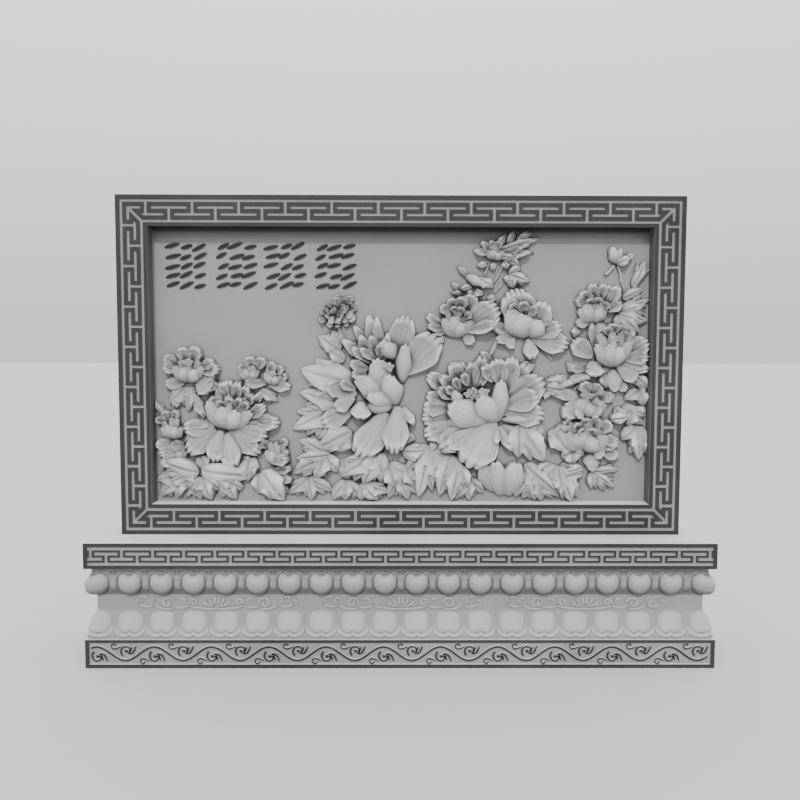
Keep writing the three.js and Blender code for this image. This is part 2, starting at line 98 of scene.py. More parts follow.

# %% [markdown]
# ## Putting a surface into a mesh
# Each carved form is a grid of points worked out as whole arrays. This helper joins such grids
# into one mesh. It also keeps two things for the stone's finish: a share for each point, which
# sets the painted shade and painted highlight of carved stone and the ink of the strokes, and
# the form's own across and along, which the fine chisel lines follow.

# %% Mesh helper
def stone_mesh(name, points, quads, triangles, node, slot, finish, marks=None, depth=None, sharp=50):
    """Makes one stone piece from points, four-sided and three-sided faces. Edges that turn by more
    than `sharp` degrees stay crisp, and the rest is shaded as round."""
    quads = np.asarray(quads, np.int32).reshape(-1, 4)
    triangles = np.asarray(triangles, np.int32).reshape(-1, 3)
    mesh = bpy.data.meshes.new(name)
    mesh.vertices.add(len(points))
    mesh.vertices.foreach_set("co", np.asarray(points, np.float32).ravel())
    corners = np.concatenate([quads.ravel(), triangles.ravel()])
    sizes = np.concatenate([np.full(len(quads), 4), np.full(len(triangles), 3)])
    starts = np.concatenate([[0], np.cumsum(sizes)[:-1]])
    mesh.loops.add(len(corners))
    mesh.loops.foreach_set("vertex_index", corners)
    mesh.polygons.add(len(sizes))
    mesh.polygons.foreach_set("loop_start", starts.astype(np.int32))
    mesh.polygons.foreach_set("loop_total", sizes.astype(np.int32))
    mesh.update(calc_edges=True)
    mesh.validate()
    mesh.polygons.foreach_set("use_smooth", np.ones(len(mesh.polygons), bool))
    mesh.set_sharp_from_angle(angle=math.radians(sharp))
    if marks is not None:
        layer = mesh.uv_layers.new(name="chisel")
        layer.data.foreach_set("uv", np.asarray(marks, np.float32)[corners].ravel())
    if depth is not None:
        layer = mesh.attributes.new("depth", "FLOAT", "POINT")
        layer.data.foreach_set("value", np.asarray(depth, np.float32))
    piece = bpy.data.objects.new(name, mesh)
    bpy.context.scene.collection.objects.link(piece)
    mesh.materials.append(finish)
    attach(piece, "root")
    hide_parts(node)
    count = 2 * len(quads) + len(triangles)
    print(name, "has", count, "triangles")
    return piece


def grid_quads(rows, columns, closed=False):
    """Faces of a grid of points stored row by row. A closed grid also joins its last column to
    its first."""
    row = np.arange(rows - 1)[:, None]
    last = columns if closed else columns - 1
    column = np.arange(last)[None, :]
    following = (column + 1) % columns
    a = row * columns + column
    b = row * columns + following
    c = (row + 1) * columns + following
    d = (row + 1) * columns + column
    return np.stack([a, b, c, d], -1).reshape(-1, 4)

# %% [markdown]
# ## Stone
# All ten stones are the same grey limestone, finished in three ways. Faces of the frame and of
# the slabs are honed until they are dark, and the pattern cut into them stays pale from the
# chisel. The lotus course and the relief are pale all over, with fine tool marks. Painted shade
# darkens the deep places of the carving and the faces that look down, and painted light
# brightens the faces that look up and the forms that stand out. Each finish is a network of
# nodes on object coordinates, so that it has no seams and doesn't depend on how a mesh was made.

# %% Node helpers
def new_finish(name):
    """An empty node material with its shader and output."""
    finish = bpy.data.materials.new(name)
    finish.use_nodes = True
    return finish, finish.node_tree, finish.node_tree.nodes["Principled BSDF"]


def add_node(tree, kind, inputs=None, **settings):
    """Adds a node, sets it up, and fills its inputs with values or links by name or number."""
    made = tree.nodes.new(kind)
    for key, value in settings.items():
        setattr(made, key, value)
    for key, value in (inputs or {}).items():
        if isinstance(value, bpy.types.NodeSocket):
            tree.links.new(value, made.inputs[key])
        else:
            made.inputs[key].default_value = value
    return made


def blend_colours(tree, share, first, second):
    """The first colour where share is 0 and the second where it is 1."""
    mixer = add_node(tree, "ShaderNodeMix", data_type="RGBA")
    for socket, value in ((mixer.inputs[0], share), (mixer.inputs[6], first), (mixer.inputs[7], second)):
        if isinstance(value, bpy.types.NodeSocket):
            tree.links.new(value, socket)
        else:
            socket.default_value = value
    return mixer.outputs[2]


def combine(tree, operation, first, second=0.0, clamp=False):
    """One sum on one or two values."""
    return add_node(tree, "ShaderNodeMath", {0: first, 1: second}, operation=operation,
                    use_clamp=clamp).outputs[0]


def remap(tree, value, low, high, start=0.0, end=1.0):
    """Start where value is low and end where it is high, and held beyond them."""
    inputs = {"Value": value, "From Min": low, "From Max": high, "To Min": start, "To Max": end}
    return add_node(tree, "ShaderNodeMapRange", inputs).outputs["Result"]


def noise(tree, place, scale, detail=3.0, rough=0.55):
    """Cloudy variation, at `scale` clouds to the metre."""
    inputs = {"Vector": place, "Scale": scale, "Detail": detail, "Roughness": rough}
    return add_node(tree, "ShaderNodeTexNoise", inputs).outputs["Fac"]


def grey(level, warmth=0.0):
    """A nearly neutral stone grey. Warmth shifts a little from blue towards red."""
    return (level * (1 + warmth), level, level * (1 - warmth), 1.0)

# %% Finishes
def weathered(tree, place, colour, amount):
    """Broad clouds and fine grain, lighter and darker by `amount` about the colour."""
    clouds = noise(tree, place, 2.2, 4.0)
    grain = noise(tree, place, 420.0, 2.0, 0.7)
    both = combine(tree, "ADD", combine(tree, "MULTIPLY", clouds, 0.6),
                   combine(tree, "MULTIPLY", grain, 0.4))
    lift = remap(tree, both, 0.3, 0.7, 1 - amount, 1 + amount)
    scaled = add_node(tree, "ShaderNodeVectorMath", {0: colour[:3], 1: lift}, operation="MULTIPLY")
    return scaled.outputs[0]


def honed_finish(name, front, cut):
    """Dark honed faces at y = front, pale chiselled pattern between front and cut, and sanded
    grey behind it. Faces that look up are painted pale as a painted highlight, and faces that
    look down are painted black as painted shade."""
    finish, tree, shader = new_finish(name)
    place = add_node(tree, "ShaderNodeTexCoord").outputs["Object"]
    along = add_node(tree, "ShaderNodeSeparateXYZ", {0: place}).outputs["Y"]
    up = add_node(tree, "ShaderNodeSeparateXYZ",
                  {0: add_node(tree, "ShaderNodeNewGeometry").outputs["Normal"]}).outputs["Z"]
    sunk = remap(tree, along, front + 0.4 * MM, front + 1.2 * MM)
    behind = remap(tree, along, cut + 0.6 * MM, cut + 1.4 * MM)
    dark = weathered(tree, place, grey(honed_tone, -0.02), 0.4)
    pale = weathered(tree, place, grey(cut_tone), 0.2)
    sides = weathered(tree, place, grey(side_tone, -0.005), 0.2)
    colour = blend_colours(tree, sunk, dark, pale)
    colour = blend_colours(tree, behind, colour, sides)
    # Painted light: faces that look up are painted pale, and they are rougher too.
    faces_up_painted_light = remap(tree, up, 0.6, 0.9)
    colour = blend_colours(tree, faces_up_painted_light, colour, weathered(tree, place, grey(painted_top_light_tone), 0.12))
    # Painted shade: faces that look down are painted nearly black.
    colour = blend_colours(tree, remap(tree, up, -0.6, -0.9), colour, grey(0.014))
    tree.links.new(colour, shader.inputs["Base Color"])
    rough = remap(tree, sunk, 0.0, 1.0, 0.5, 0.9)
    tree.links.new(combine(tree, "MAXIMUM", rough, remap(tree, faces_up_painted_light, 0, 1, 0.5, 0.85)),
                   shader.inputs["Roughness"])
    shader.inputs["Specular IOR Level"].default_value = 0.22
    pits = combine(tree, "MULTIPLY", noise(tree, place, 190.0, 3.0), remap(tree, sunk, 0, 1, 0.12, 1.0))
    bump = add_node(tree, "ShaderNodeBump", {"Height": pits, "Distance": 1.4 * MM, "Strength": 0.6})
    tree.links.new(bump.outputs[0], shader.inputs["Normal"])
    return finish


def carved_finish(name, tone, lines=True):
    """Pale carved stone. Where the carving is deep it is painted darker as painted shade, the forms
    that stand out are painted lightest as a painted highlight, and fine chisel lines run along
    each form."""
    finish, tree, shader = new_finish(name)
    place = add_node(tree, "ShaderNodeTexCoord").outputs["Object"]
    depth = add_node(tree, "ShaderNodeAttribute", attribute_name="depth").outputs["Fac"]
    body = weathered(tree, place, grey(tone), 0.1)
    painted_shade_colour = weathered(tree, place, grey(tone * 0.2, 0.01), 0.25)
    light = weathered(tree, place, grey(tone * 1.75), 0.06)
    # Painted shade: where the share is low the stone is painted dark.
    colour = blend_colours(tree, remap(tree, depth, 0.0, 0.4, 1.0, 0.0), body, painted_shade_colour)
    # Painted highlight: where the share is high the stone is painted palest.
    colour = blend_colours(tree, remap(tree, depth, 0.5, 1.0), colour, light)
    tree.links.new(colour, shader.inputs["Base Color"])
    shader.inputs["Roughness"].default_value = 0.9
    shader.inputs["Specular IOR Level"].default_value = 0.2
    height = combine(tree, "MULTIPLY", noise(tree, place, 160.0, 3.0), 0.7)
    if lines:
        across = add_node(tree, "ShaderNodeUVMap", uv_map="chisel").outputs[0]
        wave = add_node(tree, "ShaderNodeTexWave",
                        {"Vector": across, "Scale": 3.4, "Distortion": 1.2, "Detail": 2.0},
                        wave_type="BANDS", bands_direction="X").outputs["Fac"]
        height = combine(tree, "ADD", height, combine(tree, "MULTIPLY", wave, 0.5))
    bump = add_node(tree, "ShaderNodeBump", {"Height": height, "Distance": 2.4 * MM, "Strength": 0.8})
    tree.links.new(bump.outputs[0], shader.inputs["Normal"])
    return finish


def inked_finish():
    """Strokes cut in the panel and darkened, with their edges pale."""
    finish, tree, shader = new_finish("darkened strokes")
    place = add_node(tree, "ShaderNodeTexCoord").outputs["Object"]
    depth = add_node(tree, "ShaderNodeAttribute", attribute_name="depth").outputs["Fac"]
    colour = blend_colours(tree, remap(tree, depth, 0.2, 0.8), grey(0.2),
                           weathered(tree, place, grey(0.012), 0.4))
    tree.links.new(colour, shader.inputs["Base Color"])
    shader.inputs["Roughness"].default_value = 0.7
    shader.inputs["Specular IOR Level"].default_value = 0.2
    return finish


honed_tone = 0.025
cut_tone = 0.205
side_tone = 0.09
# The pale colour painted on faces that look up, as painted light.
painted_top_light_tone = 0.5
panel_tone = 0.21
carving_tone = 0.265

carving_finish = carved_finish("carved stone", carving_tone)
ground_finish = carved_finish("panel ground", panel_tone, lines=False)
lotus_finish = carved_finish("lotus stone", panel_tone, lines=False)
frame_finish = honed_finish("honed frame", frame_low.y, frame_low.y + frame_cut)
slab_finish = honed_finish("honed slab", slab_low.y, slab_low.y + frame_cut)
plinth_finish = honed_finish("honed plinth", base_low.y, base_low.y + plinth_cut)
stroke_finish = inked_finish()

# %% [markdown]
# ## Frame and top slab
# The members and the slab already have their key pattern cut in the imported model, with true
# depth and crisp corners. They stay as they are and get the honed finish, and a narrow bevel
# rounds their edges a little, as the mason's rubbing stone does.

# %% Frame and top slab
rubbed = 1.2 * MM


def keep_stone(name, finish):
    """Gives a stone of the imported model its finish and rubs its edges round."""
    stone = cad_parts[name]
    stone.data.materials.clear()
    stone.data.materials.append(finish)
    bevel = stone.modifiers.new("rubbed edges", "BEVEL")
    bevel.width = rubbed
    bevel.segments = 1
    bevel.limit_method = "ANGLE"
    bevel.angle_limit = math.radians(50)


for member in ("frame_bottom", "frame_top", "frame_left", "frame_right"):
    keep_stone(member, frame_finish)
keep_stone("top_slab", slab_finish)
print("kept four frame members and the top slab")

# %% [markdown]
# ## Plinth
# The plinth slab has one long sunk band on its front. A vine runs along the band in waves, with
# a curl in every hollow, left standing at the height of the slab's face. The slab is a profile
# with its band sunk into it, and the vine is a flat ribbon carried along a path: each path is a
# formula, and the ribbon gets sloping sides down to the floor of the band.

# %% Plinth slab
plinth_border = {"top": 14 * MM, "bottom": 19 * MM, "end": 20 * MM}
band_left = base_low.x + plinth_border["end"]
band_right = base_high.x - plinth_border["end"]
band_low = base_low.z + plinth_border["bottom"]
band_high = base_high.z - plinth_border["top"]


def plinth_slab():
    """A box whose front face has a rectangular sunk band with sloping edges."""
    slope = 1.5 * MM
    front, floor, back = base_low.y, base_low.y + plinth_cut, base_high.y

    def ring(left, right, low, high, y):
        return [(left, y, low), (right, y, low), (right, y, high), (left, y, high)]

    points = ring(base_low.x, base_high.x, base_low.z, base_high.z, back)
    points += ring(base_low.x, base_high.x, base_low.z, base_high.z, front)
    points += ring(band_left, band_right, band_low, band_high, front)
    points += ring(band_left + slope, band_right - slope, band_low + slope, band_high - slope, floor)
    quads = []
    for start in (0, 4, 8):
        for i in range(4):
            j = (i + 1) % 4
            quads.append((start + i, start + j, start + 4 + j, start + 4 + i))
    quads = [tuple(reversed(face)) for face in quads]
    quads.append((12, 13, 14, 15))
    quads.append((3, 2, 1, 0))
    return stone_mesh("plinth_body", points, quads, [], "plinth_slab", "dark_stone", plinth_finish)


plinth_slab()


# %% Ribbons
def ribbon(path, width, floor, face):
    """A flat ribbon standing from the floor to the face: at each point of the path, two points
    on the face half a width to either side, and two on the floor a little further out."""
    step = np.gradient(path, axis=0)
    step /= np.linalg.norm(step, axis=1, keepdims=True) + 1e-12
    side = np.stack([-step[:, 1], step[:, 0]], 1) * (np.asarray(width)[:, None] / 2)
    flare = 1 + 1.6 * MM / np.maximum(np.asarray(width)[:, None] / 2, 1 * MM)
    rails = [path - side * flare, path - side, path + side, path + side * flare]
    heights = [floor, face, face, floor]
    points = np.stack([np.column_stack([r[:, 0], np.full(len(r), y), r[:, 1]])
                       for r, y in zip(rails, heights)], 1)
    return points


def join_ribbons(name, ribbons, node, slot, finish, **extra):
    """Many ribbons as one piece. Each is a grid four points wide, closed below and at its ends."""
    points, quads, start = [], [], 0
    for one in ribbons:
        rows = len(one)
        points.append(one.reshape(-1, 3))
        quads.append(start + grid_quads(rows, 4, closed=True))
        last = start + 4 * (rows - 1)
        quads.append(np.array([[start + 3, start + 2, start + 1, start]]))
        quads.append(np.array([[last, last + 1, last + 2, last + 3]]))
        start += 4 * rows
    return stone_mesh(name, np.concatenate(points), np.concatenate(quads), [], node, slot, finish, **extra)


def curl(centre, radius, turns, start, sense, inner=0.16, steps=34):
    """A spiral: its radius shrinks evenly from the outer to the inner one as it turns."""
    share = np.linspace(0, 1, steps)
    angle = start + sense * 2 * math.pi * turns * share
    reach = radius * (1 - (1 - inner) * share)
    return np.column_stack([centre[0] + reach * np.cos(angle), centre[1] + reach * np.sin(angle)])


# %% Running vine
vine_pitch = 272.5 * MM
vine_first = -1173 * MM
vine_width = 10 * MM
vine_swing = 33 * MM
vine_step = 8 * MM
curl_reach = 27 * MM
band_middle = (band_low + band_high) / 2


def hook(places, width):
    """A short ribbon through a few given points, smoothed as a Bezier curve."""
    places = np.asarray(places, float) * MM
    t = np.linspace(0, 1, 16)[:, None]
    order = len(places) - 1
    path = sum(math.comb(order, k) * (1 - t) ** (order - k) * t ** k * p for k, p in enumerate(places))
    taper = width * (0.35 + 0.65 * np.sin(math.pi * np.linspace(0.1, 0.9, 16)))
    return path, taper


def vine_ribbons():
    """The vine is a cosine wave. In each of its hollows a shoot leaves the vine, turns in a
    spiral to a round bud, and throws a hooked leaf to one side and a small curl to the other."""
    floor, face = base_low.y + plinth_cut + 1 * MM, base_low.y
    x = np.arange(band_left + vine_step, band_right - vine_step, vine_step)
    swing = vine_swing * np.cos(2 * math.pi * (x - vine_first) / vine_pitch)
    path = np.column_stack([x, band_middle + swing])
    ribbons = [ribbon(path, np.full(len(path), vine_width), floor, face)]

    def lay(points, width):
        inside = (points[:, 0] > band_left + 4 * MM) & (points[:, 0] < band_right - 4 * MM)
        if inside.all():
            ribbons.append(ribbon(points, width, floor, face))

    first = math.ceil((band_left - vine_first) / (vine_pitch / 2))
    last = math.floor((band_right - vine_first) / (vine_pitch / 2))
    for half in range(first, last + 1):
        up = 1 if half % 2 == 0 else -1
        centre = (vine_first + half * vine_pitch / 2 + 4 * MM, band_middle - up * 13 * MM)
        spiral = curl((0, 0), curl_reach, 0.78, math.radians(125), 1, 0.62)
        lay(spiral * (1, up) + centre, np.linspace(10 * MM, 7 * MM, len(spiral)))
        bud = curl((0, 0), 4.5 * MM, 1.0, 0, 1, 0.9, 14)
        lay(bud * (1, up) + centre, np.full(len(bud), 7 * MM))
        for places, width in (
            ([(6, 8), (24, 20), (38, 6), (46, -24)], 10 * MM),
            ([(4, -2), (16, 4), (24, -4), (26, -20)], 8 * MM),
            ([(-26, -22), (-44, -12), (-64, -2), (-70, -22)], 8 * MM),
            ([(-70, -22), (-68, -40), (-46, -38), (-50, -24)], 8 * MM),
        ):
            points, taper = hook(places, width)
            lay(points * (1, up) + centre, taper)
    return ribbons


join_ribbons("plinth_vine", vine_ribbons(), "plinth_slab", "dark_stone", plinth_finish)

# %% [markdown]
# ## Lotus course
# The course is a moulding: a lower row of petals, a plain waist, and an upper row turned the
# other way. The moulding's section is carried round the front and both ends, and each petal
# swells out of it as a dome with a heart-shaped outline. A rim runs round each petal, and small
# tips of other petals fill the corners between them.

# %% Course sizes
waist_inset = 47 * MM
lotus_rise = 43 * MM
petal_pitch = 152 * MM
front_petals = 18
end_petals = 2
course_low, course_high = lotus_low.z, lotus_high.z
reach_x = base_high.x - waist_inset
reach_y = base_high.y - waist_inset
petal_steps = 30
waist_low, waist_high = course_low + 127 * MM, course_high - 141 * MM
upper_middle, upper_half_wide, upper_half_high = course_high - 81 * MM, 55 * MM, 56 * MM
lower_middle, lower_half_wide, lower_half_high = course_low + 75 * MM, 58 * MM, 49 * MM
corner_petal = 85 * MM
corner_round = 22 * MM
on_back = 2


def smooth(value, low, high):
    """0 up to low, 1 from high on, and a smooth rise between."""
    share = np.clip((value - low) / (high - low), 0, 1)
    return share * share * (3 - 2 * share)


def ridge(value, middle, half):
    """1 on the middle and falling off as a bell on both sides of it."""
    return np.exp(-((value - middle) / half) ** 2)


def upper_petal(side, z):
    """A ball under the slab with the outline of a heart. The outline is a superellipse whose top
    is pulled down in the middle, and the ball is the square root of what is left inside it."""
    s, t = side / upper_half_wide, (z - upper_middle) / upper_half_high
    t = t + 0.32 * np.exp(-(s / 0.3) ** 2) * smooth(t, 0.1, 0.8)
    power = np.where(t > 0, 2.8, 2.1)
    r = (np.abs(s) ** power + np.abs(t) ** power) ** (1 / power)
    ball = np.sqrt(np.clip(1 - r ** 2.4, 0, 1))
    base = lotus_rise * 0.42 * smooth(z, course_high - 125 * MM, course_high - 83 * MM)
    rim = 6 * MM * ridge(r, 1.19, 0.07) * smooth(t, -0.9, -0.3)
    rib = 11 * MM * ridge(side, petal_pitch / 2, 9 * MM) * smooth(t, -0.75, -0.4)
    rib = rib * (1 - smooth(t, 0.6, 1.05))
    out = base + (lotus_rise - base) * ball + rim + rib
    # Painted shade and painted light: each ball is painted darker towards its bottom and paler where it
    # swells out, the gaps between the balls are painted dark and a little paler on the rims and ribs, and a
    # band just under the slab is painted lighter.
    under = 0.5 * smooth(t, -0.75, 0.7)
    above = 0.3 * smooth(z, course_high - 30 * MM, course_high - 12 * MM)
    gaps = 0.12 + 0.05 * rim / MM + 0.035 * rib / MM + above
    shade = np.where(r < 1, 0.1 + under + 0.24 * ball, gaps)
    return out, shade


def lower_petal(side, z):
    """A flatter dome that leans out towards its lip at the foot of the course. Under the lip
    runs a raised rim, and a small point of another petal fills each gap."""
    s, t = side / lower_half_wide, (z - lower_middle) / lower_half_high
    t = t - 0.17 * np.exp(-(s / 0.2) ** 2) * smooth(-t, 0.3, 0.9)
    power = np.where(t < 0, 3.0, 4.0)
    r = (np.abs(s) ** power + np.abs(t) ** power) ** (1 / power)
    dome = np.sqrt(np.clip(1 - r ** 3, 0, 1))
    down = np.clip((course_low + 129 * MM - z) / (129 * MM), 0, 1)
    base = lotus_rise * (0.06 + 0.84 * down ** 1.5)
    rim = lotus_rise * 0.3 * ridge(r, 1.22, 0.14) * smooth(-t, 0.3, 0.85)
    line = 3 * MM * ridge(r, 1.17, 0.05) * (1 - smooth(-t, 0.3, 0.85)) * smooth(-t, -1.1, -0.7)
    point = 7 * MM * ridge(side, petal_pitch / 2, 9 * MM) * ridge(z, course_low + 17 * MM, 12 * MM)
    out = base * smooth(waist_low - z, 0, 14 * MM) + 0.36 * lotus_rise * dome + rim + line + point
    # Painted light: the petals, which face up, are painted pale and palest where they swell, and the rims
    # and lines are painted paler than the plain colour between them.
    shade = np.where(r < 1, 0.7 + 0.14 * dome, 0.42 + 0.5 * rim / lotus_rise / 0.3 + 0.05 * line / MM)
    return out, shade


def course_stand_out(z, across):
    """How far the course stands out of the waist, and its painted shade and painted highlight, at
    a height and a place across the petal."""
    side = np.abs(across) * petal_pitch / 2
    upper_out, upper_shade = upper_petal(side, z)
    lower_out, lower_shade = lower_petal(side, z)
    on_upper, on_lower = z > waist_high, z < waist_low
    out = np.where(on_upper, upper_out, np.where(on_lower, lower_out, 0))
    shade = np.where(on_upper, upper_shade, np.where(on_lower, lower_shade, 0.5))
    return np.minimum(out, waist_inset), np.clip(shade, 0, 1)


# %% Course blocks
course_levels = np.concatenate([
    np.linspace(course_low, waist_low, 34),
    np.linspace(waist_low, waist_high, 10)[1:-1],
    np.linspace(waist_high, course_high, 32),
])


def course_path():
    """Columns along the left end, the front and the right end: place, outward direction, and
    where each lies across its petal. Round a corner the direction turns, so that the corner
    petal is round as well."""
    run_x = front_petals * petal_pitch / 2
    run_y = end_petals * petal_pitch / 2
    end = np.linspace(run_y, -run_y, end_petals * petal_steps + 1)
    end_across = np.mod(np.linspace(0, 2 * end_petals, len(end)), 2) - 1
    corner = np.linspace(-run_y, -reach_y, 15)[1:]
    turn = np.linspace(-reach_x, -run_x, 17)[1:-1]
    front = np.linspace(-run_x, run_x, front_petals * petal_steps + 1)
    front_across = np.mod(np.linspace(0, 2 * front_petals, len(front)), 2) - 1

    def rounded(distance):
        return np.exp(-distance / corner_round)

    near_end, near_front = rounded(corner + reach_y), rounded(turn + reach_x)
    pieces = [
        (np.full(len(end), -reach_x), end, -1.0, 0.0, end_across),
        (np.full(len(corner), -reach_x), corner, -1.0, -near_end,
         -(corner + reach_y) / corner_petal),
        (turn, np.full(len(turn), -reach_y), -near_front, -1.0,
         (turn + reach_x) / corner_petal),
        (front, np.full(len(front), -reach_y), 0.0, -1.0, front_across),
    ]
    half = [np.column_stack([x, y, dx + 0 * x, dy + 0 * x, a]) for x, y, dx, dy, a in pieces]
    mirrored = np.concatenate(half[:-1])[::-1] * (-1, 1, -1, 1, -1)
    return np.concatenate(half + [mirrored])


def course_block(name, left, right):
    """One block of the course between two joints, or out to an end of the base. The back is the
    same section left plain, so its two columns carry a mark instead of a place across a petal."""
    path = course_path()
    path = path[(path[:, 0] > left - 1 * MM) & (path[:, 0] < right + 1 * MM)]
    path[:, 0] = np.clip(path[:, 0], left, right)
    first, last = path[0], path[-1]
    at_left, at_right = left <= base_low.x, right >= base_high.x
    back_left = [first[0], reach_y, -1.0 if at_left else 0.0, 1, on_back]
    back_right = [last[0], reach_y, 1.0 if at_right else 0.0, 1, on_back]
    path = np.vstack([[back_left], path, [back_right]])
    across = np.broadcast_to(np.clip(path[:, 4], -1, 1), (len(course_levels), len(path)))
    height = np.broadcast_to(course_levels[:, None], across.shape)
    out, shade = course_stand_out(height, across)
    plain, _ = course_stand_out(height, np.full(across.shape, 0.55))
    out = np.where(path[:, 4] == on_back, plain, out)
    points = np.stack([path[:, 0] + path[:, 2] * out, path[:, 1] + path[:, 3] * out, height], -1)
    rows, columns = across.shape
    centre = (path[:, 0].min() + path[:, 0].max()) / 2
    middle = np.array([[centre, 0, course_low], [centre, 0, course_high]])
    ring = np.arange(columns)
    following = (ring + 1) % columns
    bottom = np.column_stack([following, ring, np.full(columns, rows * columns)])
    top = np.column_stack([(rows - 1) * columns + ring, (rows - 1) * columns + following,
                           np.full(columns, rows * columns + 1)])
    return stone_mesh(name.replace("block", "petals"), np.vstack([points.reshape(-1, 3), middle]),
                      grid_quads(rows, columns, closed=True), np.vstack([bottom, top]), name,
                      "pale_stone", lotus_finish, depth=np.append(shade.ravel(), [0.5, 0.5]), sharp=70)


joint = 456 * MM
gap = 0.3 * MM
course_block("lotus_block_left", base_low.x, -joint - gap / 2)
course_block("lotus_block_middle", -joint + gap / 2, joint - gap / 2)
course_block("lotus_block_right", joint + gap / 2, base_high.x)

# %% Scrolls on the waist
scroll_middles = {"lotus_block_left": -883 * MM, "lotus_block_middle": 0.0, "lotus_block_right": 883 * MM}
scroll_foot = 270 * MM
scroll_stretch = 1.045


def scroll_half():
    """One half of a scroll, from its middle outwards, in millimetres from the middle of the
    cartouche and above its foot."""
    ribbons = []

    def curve(places, width):
        path, taper = hook(places, width * MM)
        ribbons.append((path, taper))

    def spiral(x, z, radius, turns, start, sense, width):
        path = curl((x * MM, z * MM), radius * MM, turns, math.radians(start), sense, 0.2, 26)
        ribbons.append((path, np.linspace(width * MM, 0.6 * width * MM, len(path))))

    curve([(0, 4), (50, 2), (90, 8), (122, 20)], 12)
    spiral(106, 38, 19, 1.3, -20, 1, 11)
    curve([(3, 30), (12, 44), (10, 56), (3, 64)], 12)
    curve([(10, 24), (30, 34), (34, 48), (32, 58)], 11)
    curve([(18, 18), (48, 22), (58, 34), (58, 46)], 11)
    curve([(128, 20), (150, 8), (176, 8), (192, 20)], 12)
    curve([(140, 40), (146, 60), (166, 62), (168, 46)], 11)
    spiral(222, 34, 28, 1.15, 170, -1, 12)
    curve([(200, 6), (230, -2), (262, 6), (282, 24)], 12)
    spiral(292, 50, 14, 1.0, -110, 1, 11)
    curve([(292, 22), (312, 12), (336, 14), (352, 30)], 11)
    spiral(356, 42, 11, 0.9, -70, 1, 10)
    curve([(312, 56), (324, 70), (340, 66), (340, 56)], 10)
    return ribbons


def waist_scroll(name, middle):
    """Both halves of a scroll on the waist, standing 6 mm out of it. Its face is painted pale as a
    painted highlight, and its feet are painted dark as painted shade.
    """
    face, floor = -reach_y - 6 * MM, -reach_y + 1 * MM
    ribbons = []
    for sign in (-1, 1):
        for path, taper in scroll_half():
            laid_out = path * (sign * scroll_stretch, 1) + (middle, scroll_foot)
            ribbons.append(ribbon(laid_out if sign > 0 else laid_out[::-1], taper, floor, face))
    count = sum(len(one) for one in ribbons)
    return join_ribbons(name.replace("block", "scroll"), ribbons, name, "pale_stone", lotus_finish,
                        depth=np.tile([0.05, 0.72, 0.72, 0.05], count))


for block, middle in scroll_middles.items():
    waist_scroll(block, middle)

# %% [markdown]
# ## Forms of the relief
# The carver works from the highest forms down to the ground, so every petal and leaf is a sheet
# with a crisp edge, a rolled rim and a wall that is cut back under it. A few forms make the whole
# relief. A petal fans out to a lobed end, a cupped petal shows its round back, a blade is pointed
# at its tip, and a stem is a ribbon. Each is a grid of two parameters laid on the panel: its plan
# is worked out across and along, and its height is a third formula.

